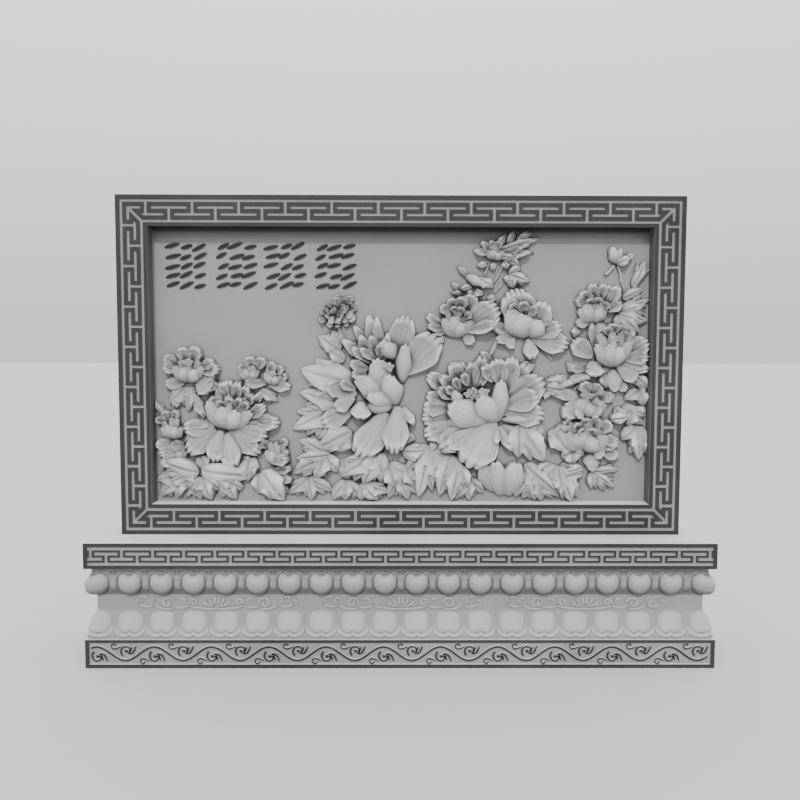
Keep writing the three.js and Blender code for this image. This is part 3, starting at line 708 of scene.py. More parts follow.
# %% Building up a carving
class Carving:
    """Collects sheets and makes them one piece of carved stone."""

    def __init__(self, name):
        self.name = name
        self.points, self.quads, self.triangles, self.marks, self.rim_and_wall_shares = [], [], [], [], []
        self.count = 0

    def sheet(self, x, z, height, marks):
        """A closed form from a grid of places and heights. Round the grid's edge the stone rolls
        over by a little, and then a wall runs down and inwards to the ground."""
        rows, columns = x.shape
        grid = np.stack([x, z, height], -1).reshape(-1, 3)
        index = np.arange(rows * columns).reshape(rows, columns)
        edge = np.concatenate([index[0, :-1], index[:-1, -1], index[-1, :0:-1], index[:0:-1, 0]])
        rim = grid[edge]
        tangent = np.roll(rim, -1, 0)[:, :2] - np.roll(rim, 1, 0)[:, :2]
        outward = np.stack([tangent[:, 1], -tangent[:, 0]], 1)
        outward /= np.linalg.norm(outward, axis=1, keepdims=True) + 1e-9
        roll, under = rim.copy(), rim.copy()
        roll[:, :2] += outward * edge_roll
        roll[:, 2] = np.maximum(rim[:, 2] - 1.6 * edge_roll, 0.5 * rim[:, 2])
        under[:, :2] -= outward * np.minimum(0.3 * rim[:, 2:], undercut)
        under[:, 2] = -buried
        middle = np.append(under[:, :2].mean(0), -buried)[None, :]
        around = len(edge)
        first = rows * columns
        quads = [grid_quads(rows, columns)]
        ring = np.arange(around)
        following = (ring + 1) % around
        quads.append(np.stack([edge[ring], first + ring, first + following, edge[following]], 1))
        quads.append(np.stack([first + ring, first + around + ring,
                               first + around + following, first + following], 1))
        centre = np.full(around, first + 2 * around)
        bottom = np.stack([first + around + following, first + around + ring, centre], 1)
        points = np.concatenate([grid, roll, under, middle])
        # Painted highlight and painted shade: each rim gets a little more of the pale colour, and the wall
        # and bottom are pushed to the darkest share. On the strokes the same shares only shift their ink.
        rim_and_wall_shares = np.zeros(len(points))
        rim_and_wall_shares[edge] = painted_rim_highlight
        rim_and_wall_shares[first + around:] = painted_wall_shade
        self.points.append(points)
        self.quads.append(self.count + np.concatenate(quads))
        self.triangles.append(self.count + bottom)
        self.marks.append(np.concatenate([marks.reshape(-1, 2), marks.reshape(-1, 2)[edge],
                                          marks.reshape(-1, 2)[edge], [[0.5, 0.5]]]))
        self.rim_and_wall_shares.append(rim_and_wall_shares)
        self.count += len(points)

    def make(self, shading, finish):
        """The piece, with its heights turned into places in front of the panel's ground. The
        shading gives each point a share from its place and height, which sets the painted shade and
        painted highlight of carved stone and the ink of the strokes."""
        flat = np.concatenate(self.points)
        limit = panel_high.x - panel_gap
        high = np.clip(flat[:, 2], -buried, highest)
        points = np.column_stack([np.clip(flat[:, 0], -limit, limit), ground_y - high,
                                  panel_foot + np.maximum(flat[:, 1], panel_gap)])
        shade = np.clip(shading(flat) + np.concatenate(self.rim_and_wall_shares), 0, 1)
        return stone_mesh(self.name, points, np.concatenate(self.quads), np.concatenate(self.triangles),
                          "relief_panel", "carved_stone", finish, marks=np.concatenate(self.marks),
                          depth=shade, sharp=46)


edge_roll = 1.6 * MM
undercut = 7 * MM
buried = 2 * MM
highest = recess - 6 * MM
panel_gap = 1 * MM
# Painted highlight added along each rim, and painted shade on every wall and bottom.
painted_rim_highlight = 0.12
painted_wall_shade = -2
carvings = []


def laid(foot, tip, along, across):
    """Turns across and along a form into places on the panel, from its foot towards its tip."""
    run = np.subtract(tip, foot).astype(float)
    run /= np.hypot(*run)
    return foot[0] + along * run[0] - across * run[1], foot[1] + along * run[1] + across * run[0]


def lobes_across(u, lobes):
    """0 in the notches and 1 on the lobes of a petal's end, from edge to edge. The lobes are a
    little uneven, as they are when they are cut by hand."""
    if lobes == 1:
        return np.cos(0.5 * math.pi * u)
    return np.abs(np.sin(0.5 * math.pi * lobes * (u + 1) + 0.5 * np.sin(math.pi * u)))

# %% Petal
def petal(carving, foot, tip, width, height, lobes=3, bend=0.0):
    """A petal from its foot to its tip. Across grows fast and then evenly along it, the end is
    round and scalloped into lobes, and furrows fan out from the foot. A petal that stands up is
    hollow, with its edges high, and one that hangs down is arched."""
    length = math.dist(foot, tip)
    hang = min(max((foot[1] - tip[1]) / length, 0), 1)
    rows, columns = (27, 10 * lobes + 7) if length > 130 * MM else (17, 8 * lobes + 3)
    v = np.linspace(0, 1, rows)[:, None]
    u = np.linspace(-1, 1, columns)[None, :]
    lobe = lobes_across(u, lobes)
    along = length * v * (1 - 0.26 * np.abs(u) ** 2.4 * v) * (1 + (0.08 * lobe ** 0.6 - 0.06) * v ** 4)
    spread = 0.2 + 0.8 * np.sin(0.5 * math.pi * v ** 0.85) - 0.12 * v ** 6
    across = 0.5 * width * u * spread + bend * length * v ** 2
    rise = 0.5 + 0.5 * v ** 1.2
    hollow = (0.22 - 0.56 * hang) * (u ** 2 - 0.4) * np.sin(math.pi * np.clip(v, 0, 0.85) ** 0.8)
    furrow = 0.15 * (lobe - 0.7) * v ** 1.5
    fine = 0.022 * np.cos(math.pi * (2 * lobes + 4) * u) * smooth(v, 0.05, 0.4)
    lip = 0.22 * ridge(v, 0.88, 0.1) - 0.22 * smooth(v, 0.86, 1.0)
    arch = 0.2 * hang * np.sin(math.pi * v ** 0.9)
    x, z = laid(foot, tip, along, across)
    marks = np.stack([np.broadcast_to(u * spread * 0.5 * width / (60 * MM), x.shape),
                      np.broadcast_to(v * length / (60 * MM), x.shape)], -1)
    total = height * (rise + hollow + furrow + fine + lip + arch)
    carving.sheet(x, z, np.maximum(total, 5 * MM), marks)

# %% Cupped petals
def spoon(carving, foot, tip, width, height, lobes=3, bend=0.0):
    """The back of a cupped petal. It is narrow and low at its foot, swells at once and is round
    across, so that only its far edge is crisp. Furrows fan out to the small lobes of that edge."""
    length = math.dist(foot, tip)
    rows, columns = (25, 29) if length > 110 * MM else (17, 19)
    v = np.linspace(0, 1, rows)[:, None]
    u = np.linspace(-1, 1, columns)[None, :]
    lobe = lobes_across(u, lobes)
    along = length * (v * (1 - 0.36 * np.abs(u) ** 2.2 * v ** 1.5) + 0.07 * (lobe - 0.5) * v ** 6)
    spread = np.sin(math.pi * (0.06 + 0.68 * v)) ** 0.7
    across = 0.5 * width * u * spread + bend * length * v ** 2
    rise = 0.32 + 0.68 * np.sin(0.5 * math.pi * np.minimum(v / 0.66, 1)) ** 0.8
    rise = rise - 0.12 * smooth(v, 0.7, 1.0)
    furrow = 0.026 * np.cos(math.pi * (1.5 * lobes + 3) * u + 0.7) * smooth(v, 0.05, 0.45)
    lip = 0.08 * ridge(v, 0.94, 0.05)
    x, z = laid(foot, tip, along, across)
    marks = np.stack([np.broadcast_to(u * spread * 0.5 * width / (50 * MM), x.shape),
                      np.broadcast_to(v * length / (60 * MM), x.shape)], -1)
    carving.sheet(x, z, height * (rise * np.sqrt(1 - 0.84 * u ** 2) * (1 + furrow) + lip), marks)


def bowl(carving, foot, wide, tall, height, lean=0.0):
    """The heart of a flower seen from outside: cupped petals that fan out of one foot. The ones
    behind reach up to a ruffled rim, one closes each side, and the ones in front stand out most.
    Each tip is a share of the half width to the right and of the full height upwards."""
    c, s = math.cos(math.radians(lean)), math.sin(math.radians(lean))
    for number, (right, up, width, high, lobes) in enumerate((
        (-0.6, 0.94, 0.84, 0.6, 3), (-0.05, 1.02, 0.8, 0.66, 3), (0.58, 0.95, 0.86, 0.58, 3),
        (-0.9, 0.6, 0.96, 0.72, 3), (0.94, 0.58, 0.9, 0.7, 2), (0.1, 0.84, 0.6, 0.8, 2),
        (-0.34, 0.66, 1.16, 0.92, 3), (0.46, 0.54, 1.0, 1.0, 2),
    )):
        right = (right + 0.1 * math.sin(9 * number + 40 * foot[0])) * wide
        up = (up + 0.06 * math.sin(5 * number + 30 * foot[0])) * tall
        tip = (foot[0] + right * c - up * s, foot[1] + right * s + up * c)
        spoon(carving, foot, tip, width * wide, high * height, lobes)

# %% Blade
def blade(carving, foot, tip, width, height, bend=0.0):
    """A pointed leaf blade. Along its middle runs a narrow groove, the halves swell beside it,
    one a little higher than the other, and both fall to a smooth edge with one soft shoulder."""
    length = math.dist(foot, tip)
    rows, columns = (21, 13) if length > 70 * MM else (13, 9)
    v = np.linspace(0, 1, rows)[:, None]
    u = np.linspace(-1, 1, columns)[None, :]
    phase = 40 * length + 9 * foot[0]
    swell = 2.35 * v ** 0.5 * (1 - v) ** 0.8 + 0.12 * (1 - v) + 0.01
    shoulder = ridge(v, 0.4 + 0.08 * np.sin(phase + 2 * u), 0.1)
    along = length * (v + 0.1 * u ** 2 * shoulder)
    across = 0.5 * width * u * swell * (1 + 0.2 * shoulder)
    across = across + bend * length * np.sin(0.5 * math.pi * v) ** 2
    rise = 0.6 + 0.4 * np.sin(math.pi * v ** 1.1)
    body = 0.36 * np.sqrt(1 - 0.92 * u ** 2) - 0.3 * ridge(u, 0, 0.15)
    body = body * np.sin(math.pi * (0.12 + 0.78 * v))
    veins = 0.16 * u ** 2 * np.sin(3 * math.pi * v + phase + 1.5 * u)
    twist = 0.34 * u * math.sin(phase) * np.sin(math.pi * v)
    x, z = laid(foot, tip, along, across)
    marks = np.stack([np.broadcast_to(u * swell * 0.3, x.shape),
                      np.broadcast_to(v * length / (90 * MM), x.shape)], -1)
    carving.sheet(x, z, np.maximum(height * (rise + body + veins + twist - 0.2), 4 * MM), marks)


def lobed_blade(carving, foot, tip, width, height, bend=0.0):
    """A blade that throws a smaller lobe to each side from its lower half."""
    blade(carving, foot, tip, width, height, bend)
    run = np.subtract(tip, foot)
    length = np.hypot(*run)
    if length < 75 * MM:
        return
    for side, start, share in ((-1, 0.3, 0.56), (1, 0.4, 0.48)):
        turn = math.radians(side * 36) + 2 * bend
        c, s = math.cos(turn), math.sin(turn)
        way = np.array([run[0] * c - run[1] * s, run[0] * s + run[1] * c])
        root = np.asarray(foot) + start * run
        blade(carving, root, root + share * way, 0.56 * width, 0.8 * height, -0.1 * side)


def leaf(carving, foot, tips, width, height):
    """A leaf of several blades from one foot, each to its own tip, the middle one highest."""
    for number, tip in enumerate(tips):
        share = 1.0 if number == len(tips) // 2 else 0.84
        lean = 0.12 * (number - (len(tips) - 1) / 2) + 0.06 * math.sin(50 * tip[0])
        lobed_blade(carving, foot, tip, 0.86 * width, height * share, lean)

# %% Rounded lump, stem and stamens
def lump(carving, centre, half_wide, half_high, height, turn=0.0, base=0.3):
    """A square grid pressed into an ellipse and swelling to its middle."""
    steps = 27 if half_wide > 45 * MM else 7
    v, u = np.meshgrid(np.linspace(-1, 1, steps), np.linspace(-1, 1, steps), indexing="ij")
    across = u * np.sqrt(1 - v * v / 2)
    along = v * np.sqrt(1 - u * u / 2)
    swell = np.sqrt(np.clip(1 - 0.985 * (across ** 2 + along ** 2), 0, 1))
    c, s = math.cos(math.radians(turn)), math.sin(math.radians(turn))
    wide, tall = across * half_wide, along * half_high
    x = centre[0] + wide * c - tall * s
    z = centre[1] + wide * s + tall * c
    carving.sheet(x, z, height * (base + (1 - base) * swell), np.stack([across, along], -1))


def stem(carving, foot, tip, width, height, bend=0.0):
    """A round stem that lies on the ground and may bend."""
    v = np.linspace(0, 1, 12)[:, None]
    u = np.linspace(-1, 1, 5)[None, :]
    length = math.dist(foot, tip)
    x, z = laid(foot, tip, length * v + 0 * u, 0.5 * width * u + bend * length * np.sin(math.pi * v))
    marks = np.stack([u + 0 * v, v + 0 * u], -1) * 0.1
    carving.sheet(x, z, height * (0.6 + 0.4 * np.sqrt(1 - 0.9 * u ** 2)) + 0 * v, marks)


golden_angle = 2.4
knob = 7 * MM


def stamens(carving, centre, spread, height, count):
    """Small knobs in the open middle of a flower, placed by the golden angle."""
    for number in range(count):
        reach = spread * math.sqrt((number + 0.5) / count)
        angle = golden_angle * number
        place = (centre[0] + reach * math.cos(angle), centre[1] + 0.6 * reach * math.sin(angle))
        lump(carving, place, knob, knob, height + 3 * MM * math.sin(7 * number), base=0.9)

# %% [markdown]
# ## Where the flowers and leaves go
# The relief is laid out like a drawing. Each bracket below is one form, in millimetres to the right
# of the panel's middle and above its foot. A petal, a cupped petal or a blade is given by its
# foot, its tip, its width and its height, and petals by their number of lobes too. A bowl is given
# by its foot, its half width, how tall it is, its height and its lean. Leaves are lowest, outer
# petals higher, and the hearts of the flowers stand out most.

# %% Carve a list of forms
leaf_lift = 1.4
petal_lift = 1.3


def carve(name, bowls=(), spoons=(), petals=(), blades=(), leaves=(), stems=(), hearts=(), lumps=()):
    """Lays out one carving from lists of forms given in millimetres. Leaves and petals are lifted
    by a share, so that the whole relief can be made bolder or flatter."""
    carving = Carving(name)
    for foot_x, foot_z, tip_x, tip_z, width, height in stems:
        stem(carving, (foot_x * MM, foot_z * MM), (tip_x * MM, tip_z * MM), width * MM, height * MM, 0.05)
    for foot_x, foot_z, width, height, *tips in leaves:
        ends = [(x * MM, z * MM) for x, z in tips]
        leaf(carving, (foot_x * MM, foot_z * MM), ends, width * MM, leaf_lift * height * MM)
    for number, (foot_x, foot_z, tip_x, tip_z, width, height) in enumerate(blades):
        lobed_blade(carving, (foot_x * MM, foot_z * MM), (tip_x * MM, tip_z * MM), width * MM,
                    leaf_lift * height * MM, 0.14 * math.sin(2.1 * number))
    for kind, raised, forms in ((petal, petal_lift, petals), (spoon, 1.0, spoons)):
        for number, (foot_x, foot_z, tip_x, tip_z, width, height, lobes) in enumerate(forms):
            kind(carving, (foot_x * MM, foot_z * MM), (tip_x * MM, tip_z * MM), width * MM,
                 raised * height * MM, lobes, 0.06 * math.sin(1.7 * number))
    for foot_x, foot_z, wide, tall, height, lean in bowls:
        bowl(carving, (foot_x * MM, foot_z * MM), wide * MM, tall * MM, height * MM, lean)
    for x, z, half_wide, half_high, height, turn in lumps:
        lump(carving, (x * MM, z * MM), half_wide * MM, half_high * MM, height * MM, turn)
    for x, z, spread, height, count in hearts:
        stamens(carving, (x * MM, z * MM), spread * MM, height * MM, count)
    carvings.append(carving)

# %% Left group
carve(
    "carving_left",
    bowls=[
        (-1046, 596, 76, 116, 60, 0), (-742, 604, 48, 82, 48, 8), (-638, 582, 50, 84, 54, -8),
        (-866, 364, 108, 176, 70, -10), (-1128, 310, 58, 106, 58, 4), (-1110, 196, 62, 84, 42, 12),
        (-616, 182, 62, 118, 60, 0),
    ],
    petals=[
        (-1059, 690, -1077, 766, 66, 34, 2), (-1027, 690, -1000, 768, 74, 36, 3),
        (-1095, 680, -1164, 716, 62, 32, 2), (-1100, 650, -1168, 672, 54, 36, 2),
        (-995, 668, -920, 694, 56, 34, 2), (-990, 650, -896, 655, 64, 38, 3),
        (-990, 634, -918, 618, 52, 30, 2), (-1070, 590, -1162, 584, 62, 24, 2),
        (-1006, 612, -940, 548, 108, 28, 3), (-1003, 596, -896, 566, 60, 22, 2),
        (-1052, 566, -960, 430, 52, 24, 2), (-1085, 560, -1118, 470, 54, 18, 2),
        (-735, 655, -742, 722, 62, 34, 2), (-700, 660, -684, 718, 58, 36, 2),
        (-660, 650, -624, 690, 58, 34, 2), (-633, 640, -580, 664, 48, 36, 2),
        (-758, 645, -795, 680, 42, 30, 2), (-617, 612, -563, 628, 44, 30, 2),
        (-665, 590, -770, 588, 56, 26, 2), (-655, 585, -548, 566, 58, 28, 2),
        (-878, 466, -938, 520, 54, 34, 2), (-870, 470, -906, 562, 56, 32, 2),
        (-856, 480, -884, 596, 62, 36, 2), (-840, 480, -842, 606, 64, 33, 2),
        (-820, 480, -802, 596, 58, 38, 2), (-800, 476, -765, 580, 58, 34, 2),
        (-782, 468, -728, 532, 52, 32, 2), (-866, 460, -894, 508, 42, 50, 2),
        (-842, 466, -846, 524, 46, 54, 2), (-812, 462, -794, 522, 44, 52, 2),
        (-782, 452, -752, 500, 42, 48, 2), (-770, 420, -668, 472, 66, 34, 3),
        (-772, 404, -602, 404, 84, 36, 3), (-800, 372, -672, 366, 80, 30, 3),
        (-830, 366, -668, 318, 96, 34, 3), (-850, 352, -700, 244, 100, 30, 3),
        (-925, 376, -1070, 358, 92, 34, 3), (-915, 356, -1056, 250, 112, 30, 3),
        (-890, 352, -936, 208, 104, 38, 3), (-860, 340, -824, 172, 108, 42, 3),
        (-1150, 400, -1172, 452, 44, 34, 2), (-1125, 402, -1108, 456, 44, 30, 2),
        (-1178, 390, -1206, 420, 34, 30, 2), (-1132, 312, -1208, 268, 62, 30, 3),
        (-1070, 270, -1196, 240, 72, 34, 3), (-1080, 236, -1190, 196, 62, 38, 3),
        (-1075, 280, -1140, 284, 56, 30, 2), (-640, 200, -560, 220, 50, 56, 2),
        (-640, 150, -546, 170, 48, 34, 2), (-640, 134, -546, 98, 52, 30, 2),
        (-660, 270, -690, 300, 46, 34, 2), (-600, 282, -566, 312, 44, 34, 2),
    ],
    blades=[
        (-670, 556, -738, 484, 30, 20), (-1171, 420, -1204, 505, 24, 20),
        (-755, 226, -745, 104, 82, 30), (-690, 150, -580, 8, 108, 34), (-700, 140, -724, 42, 56, 24),
        (-1004, 146, -1196, 176, 86, 34), (-1060, 130, -1150, 96, 50, 30),
        (-990, 158, -752, 96, 96, 36), (-900, 110, -846, 40, 56, 28), (-1000, 235, -960, 150, 60, 20),
        (-1020, 330, -1075, 300, 40, 20), (-960, 430, -1010, 330, 56, 18),
        (-1070, 566, -1146, 484, 60, 18), (-1040, 566, -1068, 452, 46, 20),
        (-1010, 560, -1100, 520, 40, 16), (-700, 560, -610, 500, 40, 18),
        (-730, 300, -660, 330, 40, 20),
    ],
    leaves=[
        (-1102, 132, 76, 26, (-1206, 88), (-1180, 18), (-1120, 20), (-1020, 52)),
        (-984, 120, 70, 30, (-1020, 40), (-945, 6), (-896, 50)),
        (-867, 100, 66, 26, (-880, 16), (-826, 8), (-786, 60)),
        (-1040, 100, 52, 16, (-1074, 10), (-1000, 4)),
        (-640, 110, 64, 20, (-660, 14), (-560, 40)),
        (-800, 220, 60, 20, (-790, 130), (-740, 180)),
    ],
    hearts=[(-1046, 692, 26, 50, 12), (-730, 662, 18, 44, 8), (-630, 640, 14, 48, 6)],
)

# %% Left great peony
carve(
    "carving_peony_left",
    lumps=[(-108, 476, 64, 38, 46, 0)],
    spoons=[
        (-34, 494, -164, 532, 98, 66, 2), (-26, 486, -58, 636, 116, 72, 4),
        (-70, 530, -222, 612, 124, 60, 2), (-76, 545, -134, 706, 136, 58, 4),
        (-24, 712, -94, 800, 92, 58, 2), (0, 590, 32, 780, 84, 54, 3),
    ],
    petals=[
        (-112, 700, -160, 920, 72, 26, 1), (-100, 700, -106, 915, 50, 30, 1),
        (-90, 690, -66, 836, 44, 36, 1), (-24, 720, 10, 922, 132, 28, 4),
        (6, 640, 186, 818, 176, 32, 4), (-140, 690, -236, 772, 54, 36, 1),
        (-150, 690, -292, 796, 56, 28, 1), (-160, 700, -204, 826, 56, 32, 1),
        (-120, 700, -196, 768, 46, 44, 1), (-118, 720, -146, 826, 54, 34, 1),
        (-104, 715, -108, 784, 48, 44, 2), (-140, 740, -232, 870, 50, 22, 1),
        (-220, 536, -372, 590, 88, 36, 2), (-225, 560, -298, 600, 54, 42, 2),
        (-246, 480, -440, 520, 70, 30, 2), (-240, 458, -392, 396, 110, 38, 3),
        (-196, 500, -204, 416, 104, 44, 2), (-74, 446, -200, 220, 162, 38, 4),
        (-16, 474, -22, 248, 136, 42, 4), (14, 474, 60, 386, 44, 32, 1),
        (-230, 520, -330, 470, 80, 40, 2), (-40, 480, 40, 400, 70, 26, 2),
        (-160, 660, -250, 690, 60, 40, 2), (-170, 640, -240, 640, 60, 46, 2),
    ],
    blades=[
        (-300, 750, -408, 826, 66, 22), (-290, 770, -330, 860, 44, 18), (-380, 600, -430, 560, 40, 18),
        (-280, 700, -360, 760, 56, 20), (-236, 578, -480, 694, 130, 26), (-262, 490, -508, 512, 84, 24),
        (-300, 480, -538, 362, 92, 24), (-350, 424, -436, 316, 74, 24), (-330, 600, -400, 548, 60, 26),
    ],
    stems=[(-312, 868, -226, 648, 12, 16), (-252, 900, -200, 800, 12, 14)],
    hearts=[(-66, 672, 30, 60, 12)],
)

# %% Small ruffled flower over the left peony
def ruffled_flower(name, centre, wide, tall, lean, count):
    """A tight head of small petals. Their feet follow the golden angle inside a leaning ellipse,
    each points outwards with a turn of its own, and the inner ones stand highest."""
    carving = Carving(name)
    c, s = math.cos(math.radians(lean)), math.sin(math.radians(lean))
    for number in reversed(range(count)):
        reach = math.sqrt((number + 0.5) / count)
        angle = golden_angle * number
        right, up = 0.72 * wide * reach * math.cos(angle), 0.72 * tall * reach * math.sin(angle)
        foot = (centre[0] + right * c - up * s, centre[1] + right * s + up * c)
        way = angle + math.radians(lean) + 0.9 * math.sin(3.7 * number)
        length = (34 + 14 * math.sin(5.3 * number)) * MM
        tip = (foot[0] + length * math.cos(way), foot[1] + length * math.sin(way))
        height = (44 - 22 * reach + 6 * math.sin(8.1 * number)) * MM
        petal(carving, foot, tip, (36 + 8 * math.sin(2.9 * number)) * MM, height, 3)
    carvings.append(carving)


ruffled_flower("carving_small_ruffles", (-310 * MM, 938 * MM), 104 * MM, 64 * MM, 24, 30)

# %% Right great peony
carve(
    "carving_peony_right",
    lumps=[(334, 408, 112, 42, 46, 6)],
    spoons=[
        (404, 400, 238, 482, 172, 66, 3), (478, 400, 392, 528, 146, 72, 4),
        (482, 402, 490, 606, 98, 62, 3), (494, 412, 642, 420, 46, 46, 1),
        (420, 480, 396, 556, 66, 60, 2), (300, 470, 262, 560, 70, 56, 2),
    ],
    petals=[
        (350, 560, 352, 696, 80, 30, 2), (330, 560, 300, 700, 62, 26, 2),
        (318, 560, 246, 690, 84, 30, 3), (370, 570, 392, 728, 74, 34, 2),
        (400, 580, 430, 690, 50, 40, 1), (300, 550, 196, 630, 70, 36, 2),
        (270, 520, 180, 560, 66, 38, 2), (250, 560, 128, 626, 86, 28, 3),
        (240, 500, 130, 540, 76, 32, 2), (240, 470, 112, 476, 92, 34, 2),
        (250, 430, 110, 404, 104, 30, 3), (280, 390, 120, 330, 110, 34, 3),
        (330, 370, 184, 280, 130, 36, 3), (390, 368, 214, 272, 96, 42, 2),
        (330, 580, 300, 640, 50, 46, 2), (290, 560, 262, 620, 48, 48, 2),
        (270, 530, 226, 580, 46, 50, 2), (452, 600, 394, 672, 48, 44, 1),
        (456, 690, 392, 744, 36, 40, 1), (497, 580, 474, 712, 108, 40, 3),
        (520, 530, 556, 720, 100, 34, 3), (524, 540, 612, 690, 96, 28, 2),
        (520, 500, 700, 610, 156, 34, 4), (510, 480, 684, 520, 118, 38, 3),
        (502, 460, 704, 430, 136, 34, 4), (458, 404, 348, 172, 208, 38, 3),
        (483, 376, 468, 292, 38, 36, 1), (490, 378, 542, 258, 58, 34, 1),
        (500, 380, 590, 330, 60, 26, 2),
    ],
    blades=[
        (755, 358, 830, 252, 92, 30), (808, 584, 712, 616, 66, 26), (800, 560, 706, 560, 60, 30),
        (585, 386, 584, 222, 92, 32), (590, 386, 690, 188, 104, 30), (760, 600, 820, 640, 40, 18),
        (700, 390, 640, 330, 60, 22), (740, 360, 790, 300, 50, 22), (550, 640, 660, 700, 46, 20),
    ],
    stems=[(705, 527, 930, 628, 30, 34), (560, 640, 640, 690, 14, 18)],
    hearts=[(356, 540, 44, 54, 20), (404, 552, 26, 56, 9)],
)

# %% Leaves along the foot
carve(
    "carving_leaves",
    blades=[
        (-245, 352, -414, 270, 96, 30), (-240, 340, -330, 262, 70, 24), (-355, 242, -508, 292, 66, 26),
        (-350, 232, -520, 220, 52, 30), (-285, 217, -280, 108, 70, 20), (6, 247, 124, 276, 56, 34),
        (10, 236, 118, 230, 40, 28), (-20, 330, 70, 300, 70, 18), (210, 300, 150, 220, 70, 22),
        (800, 190, 872, 140, 50, 24), (905, 172, 798, 164, 38, 34), (1041, 413, 1126, 442, 46, 42),
        (1060, 470, 1124, 400, 44, 24), (640, 300, 700, 240, 60, 18), (1100, 480, 1216, 400, 60, 18),
    ],
    leaves=[
        (-380, 232, 84, 28, (-516, 120), (-412, 108), (-328, 140)),
        (-461, 120, 62, 22, (-538, 20), (-442, 4), (-354, 30)),
        (-114, 250, 96, 36, (-270, 96), (-180, 84), (-112, 104)),
        (-275, 104, 66, 24, (-334, 4), (-270, 4), (-212, 4)),
        (-195, 90, 62, 32, (-180, 8), (-116, 4), (-60, 30)),
        (-64, 186, 80, 28, (-90, 80), (-16, 66), (50, 100)),
        (-10, 130, 60, 22, (-40, 10), (30, 6), (90, 30)),
        (16, 180, 80, 26, (20, 60), (90, 80), (130, 130)),
        (140, 280, 92, 34, (40, 150), (104, 20), (170, 60)),
        (250, 240, 96, 30, (140, 80), (196, 30), (260, 60)),
        (290, 190, 80, 34, (182, 70), (250, 8), (310, 56)),
        (330, 120, 60, 22, (280, 6), (350, 4), (400, 30)),
        (648, 170, 76, 30, (600, 14), (660, 8), (724, 50)),
        (620, 190, 70, 30, (700, 110), (770, 14)),
        (690, 110, 66, 24, (620, 6), (700, 4), (780, 6)),
        (784, 176, 84, 30, (700, 80), (800, 30), (870, 14)),
        (796, 140, 74, 34, (814, 46), (862, 4), (904, 116)),
        (855, 252, 70, 26, (800, 220), (855, 180), (905, 226)),
        (950, 152, 44, 26, (976, 70), (1018, 60), (1062, 62), (1086, 144)),
        (1173, 380, 76, 32, (1112, 300), (1178, 212), (1216, 240)),
        (1150, 460, 64, 26, (1080, 420), (1130, 380), (1214, 430)),
        (832, 333, 60, 26, (764, 372), (790, 310), (800, 400)),
        (750, 190, 60, 26, (660, 120), (720, 70), (770, 66)),
        (1180, 560, 60, 22, (1120, 500), (1214, 480), (1216, 570)),
    ],
    spoons=[
        (470, 52, 402, 196, 112, 44, 1), (500, 32, 478, 204, 126, 52, 2),
        (530, 32, 574, 196, 140, 58, 2),
    ],
)

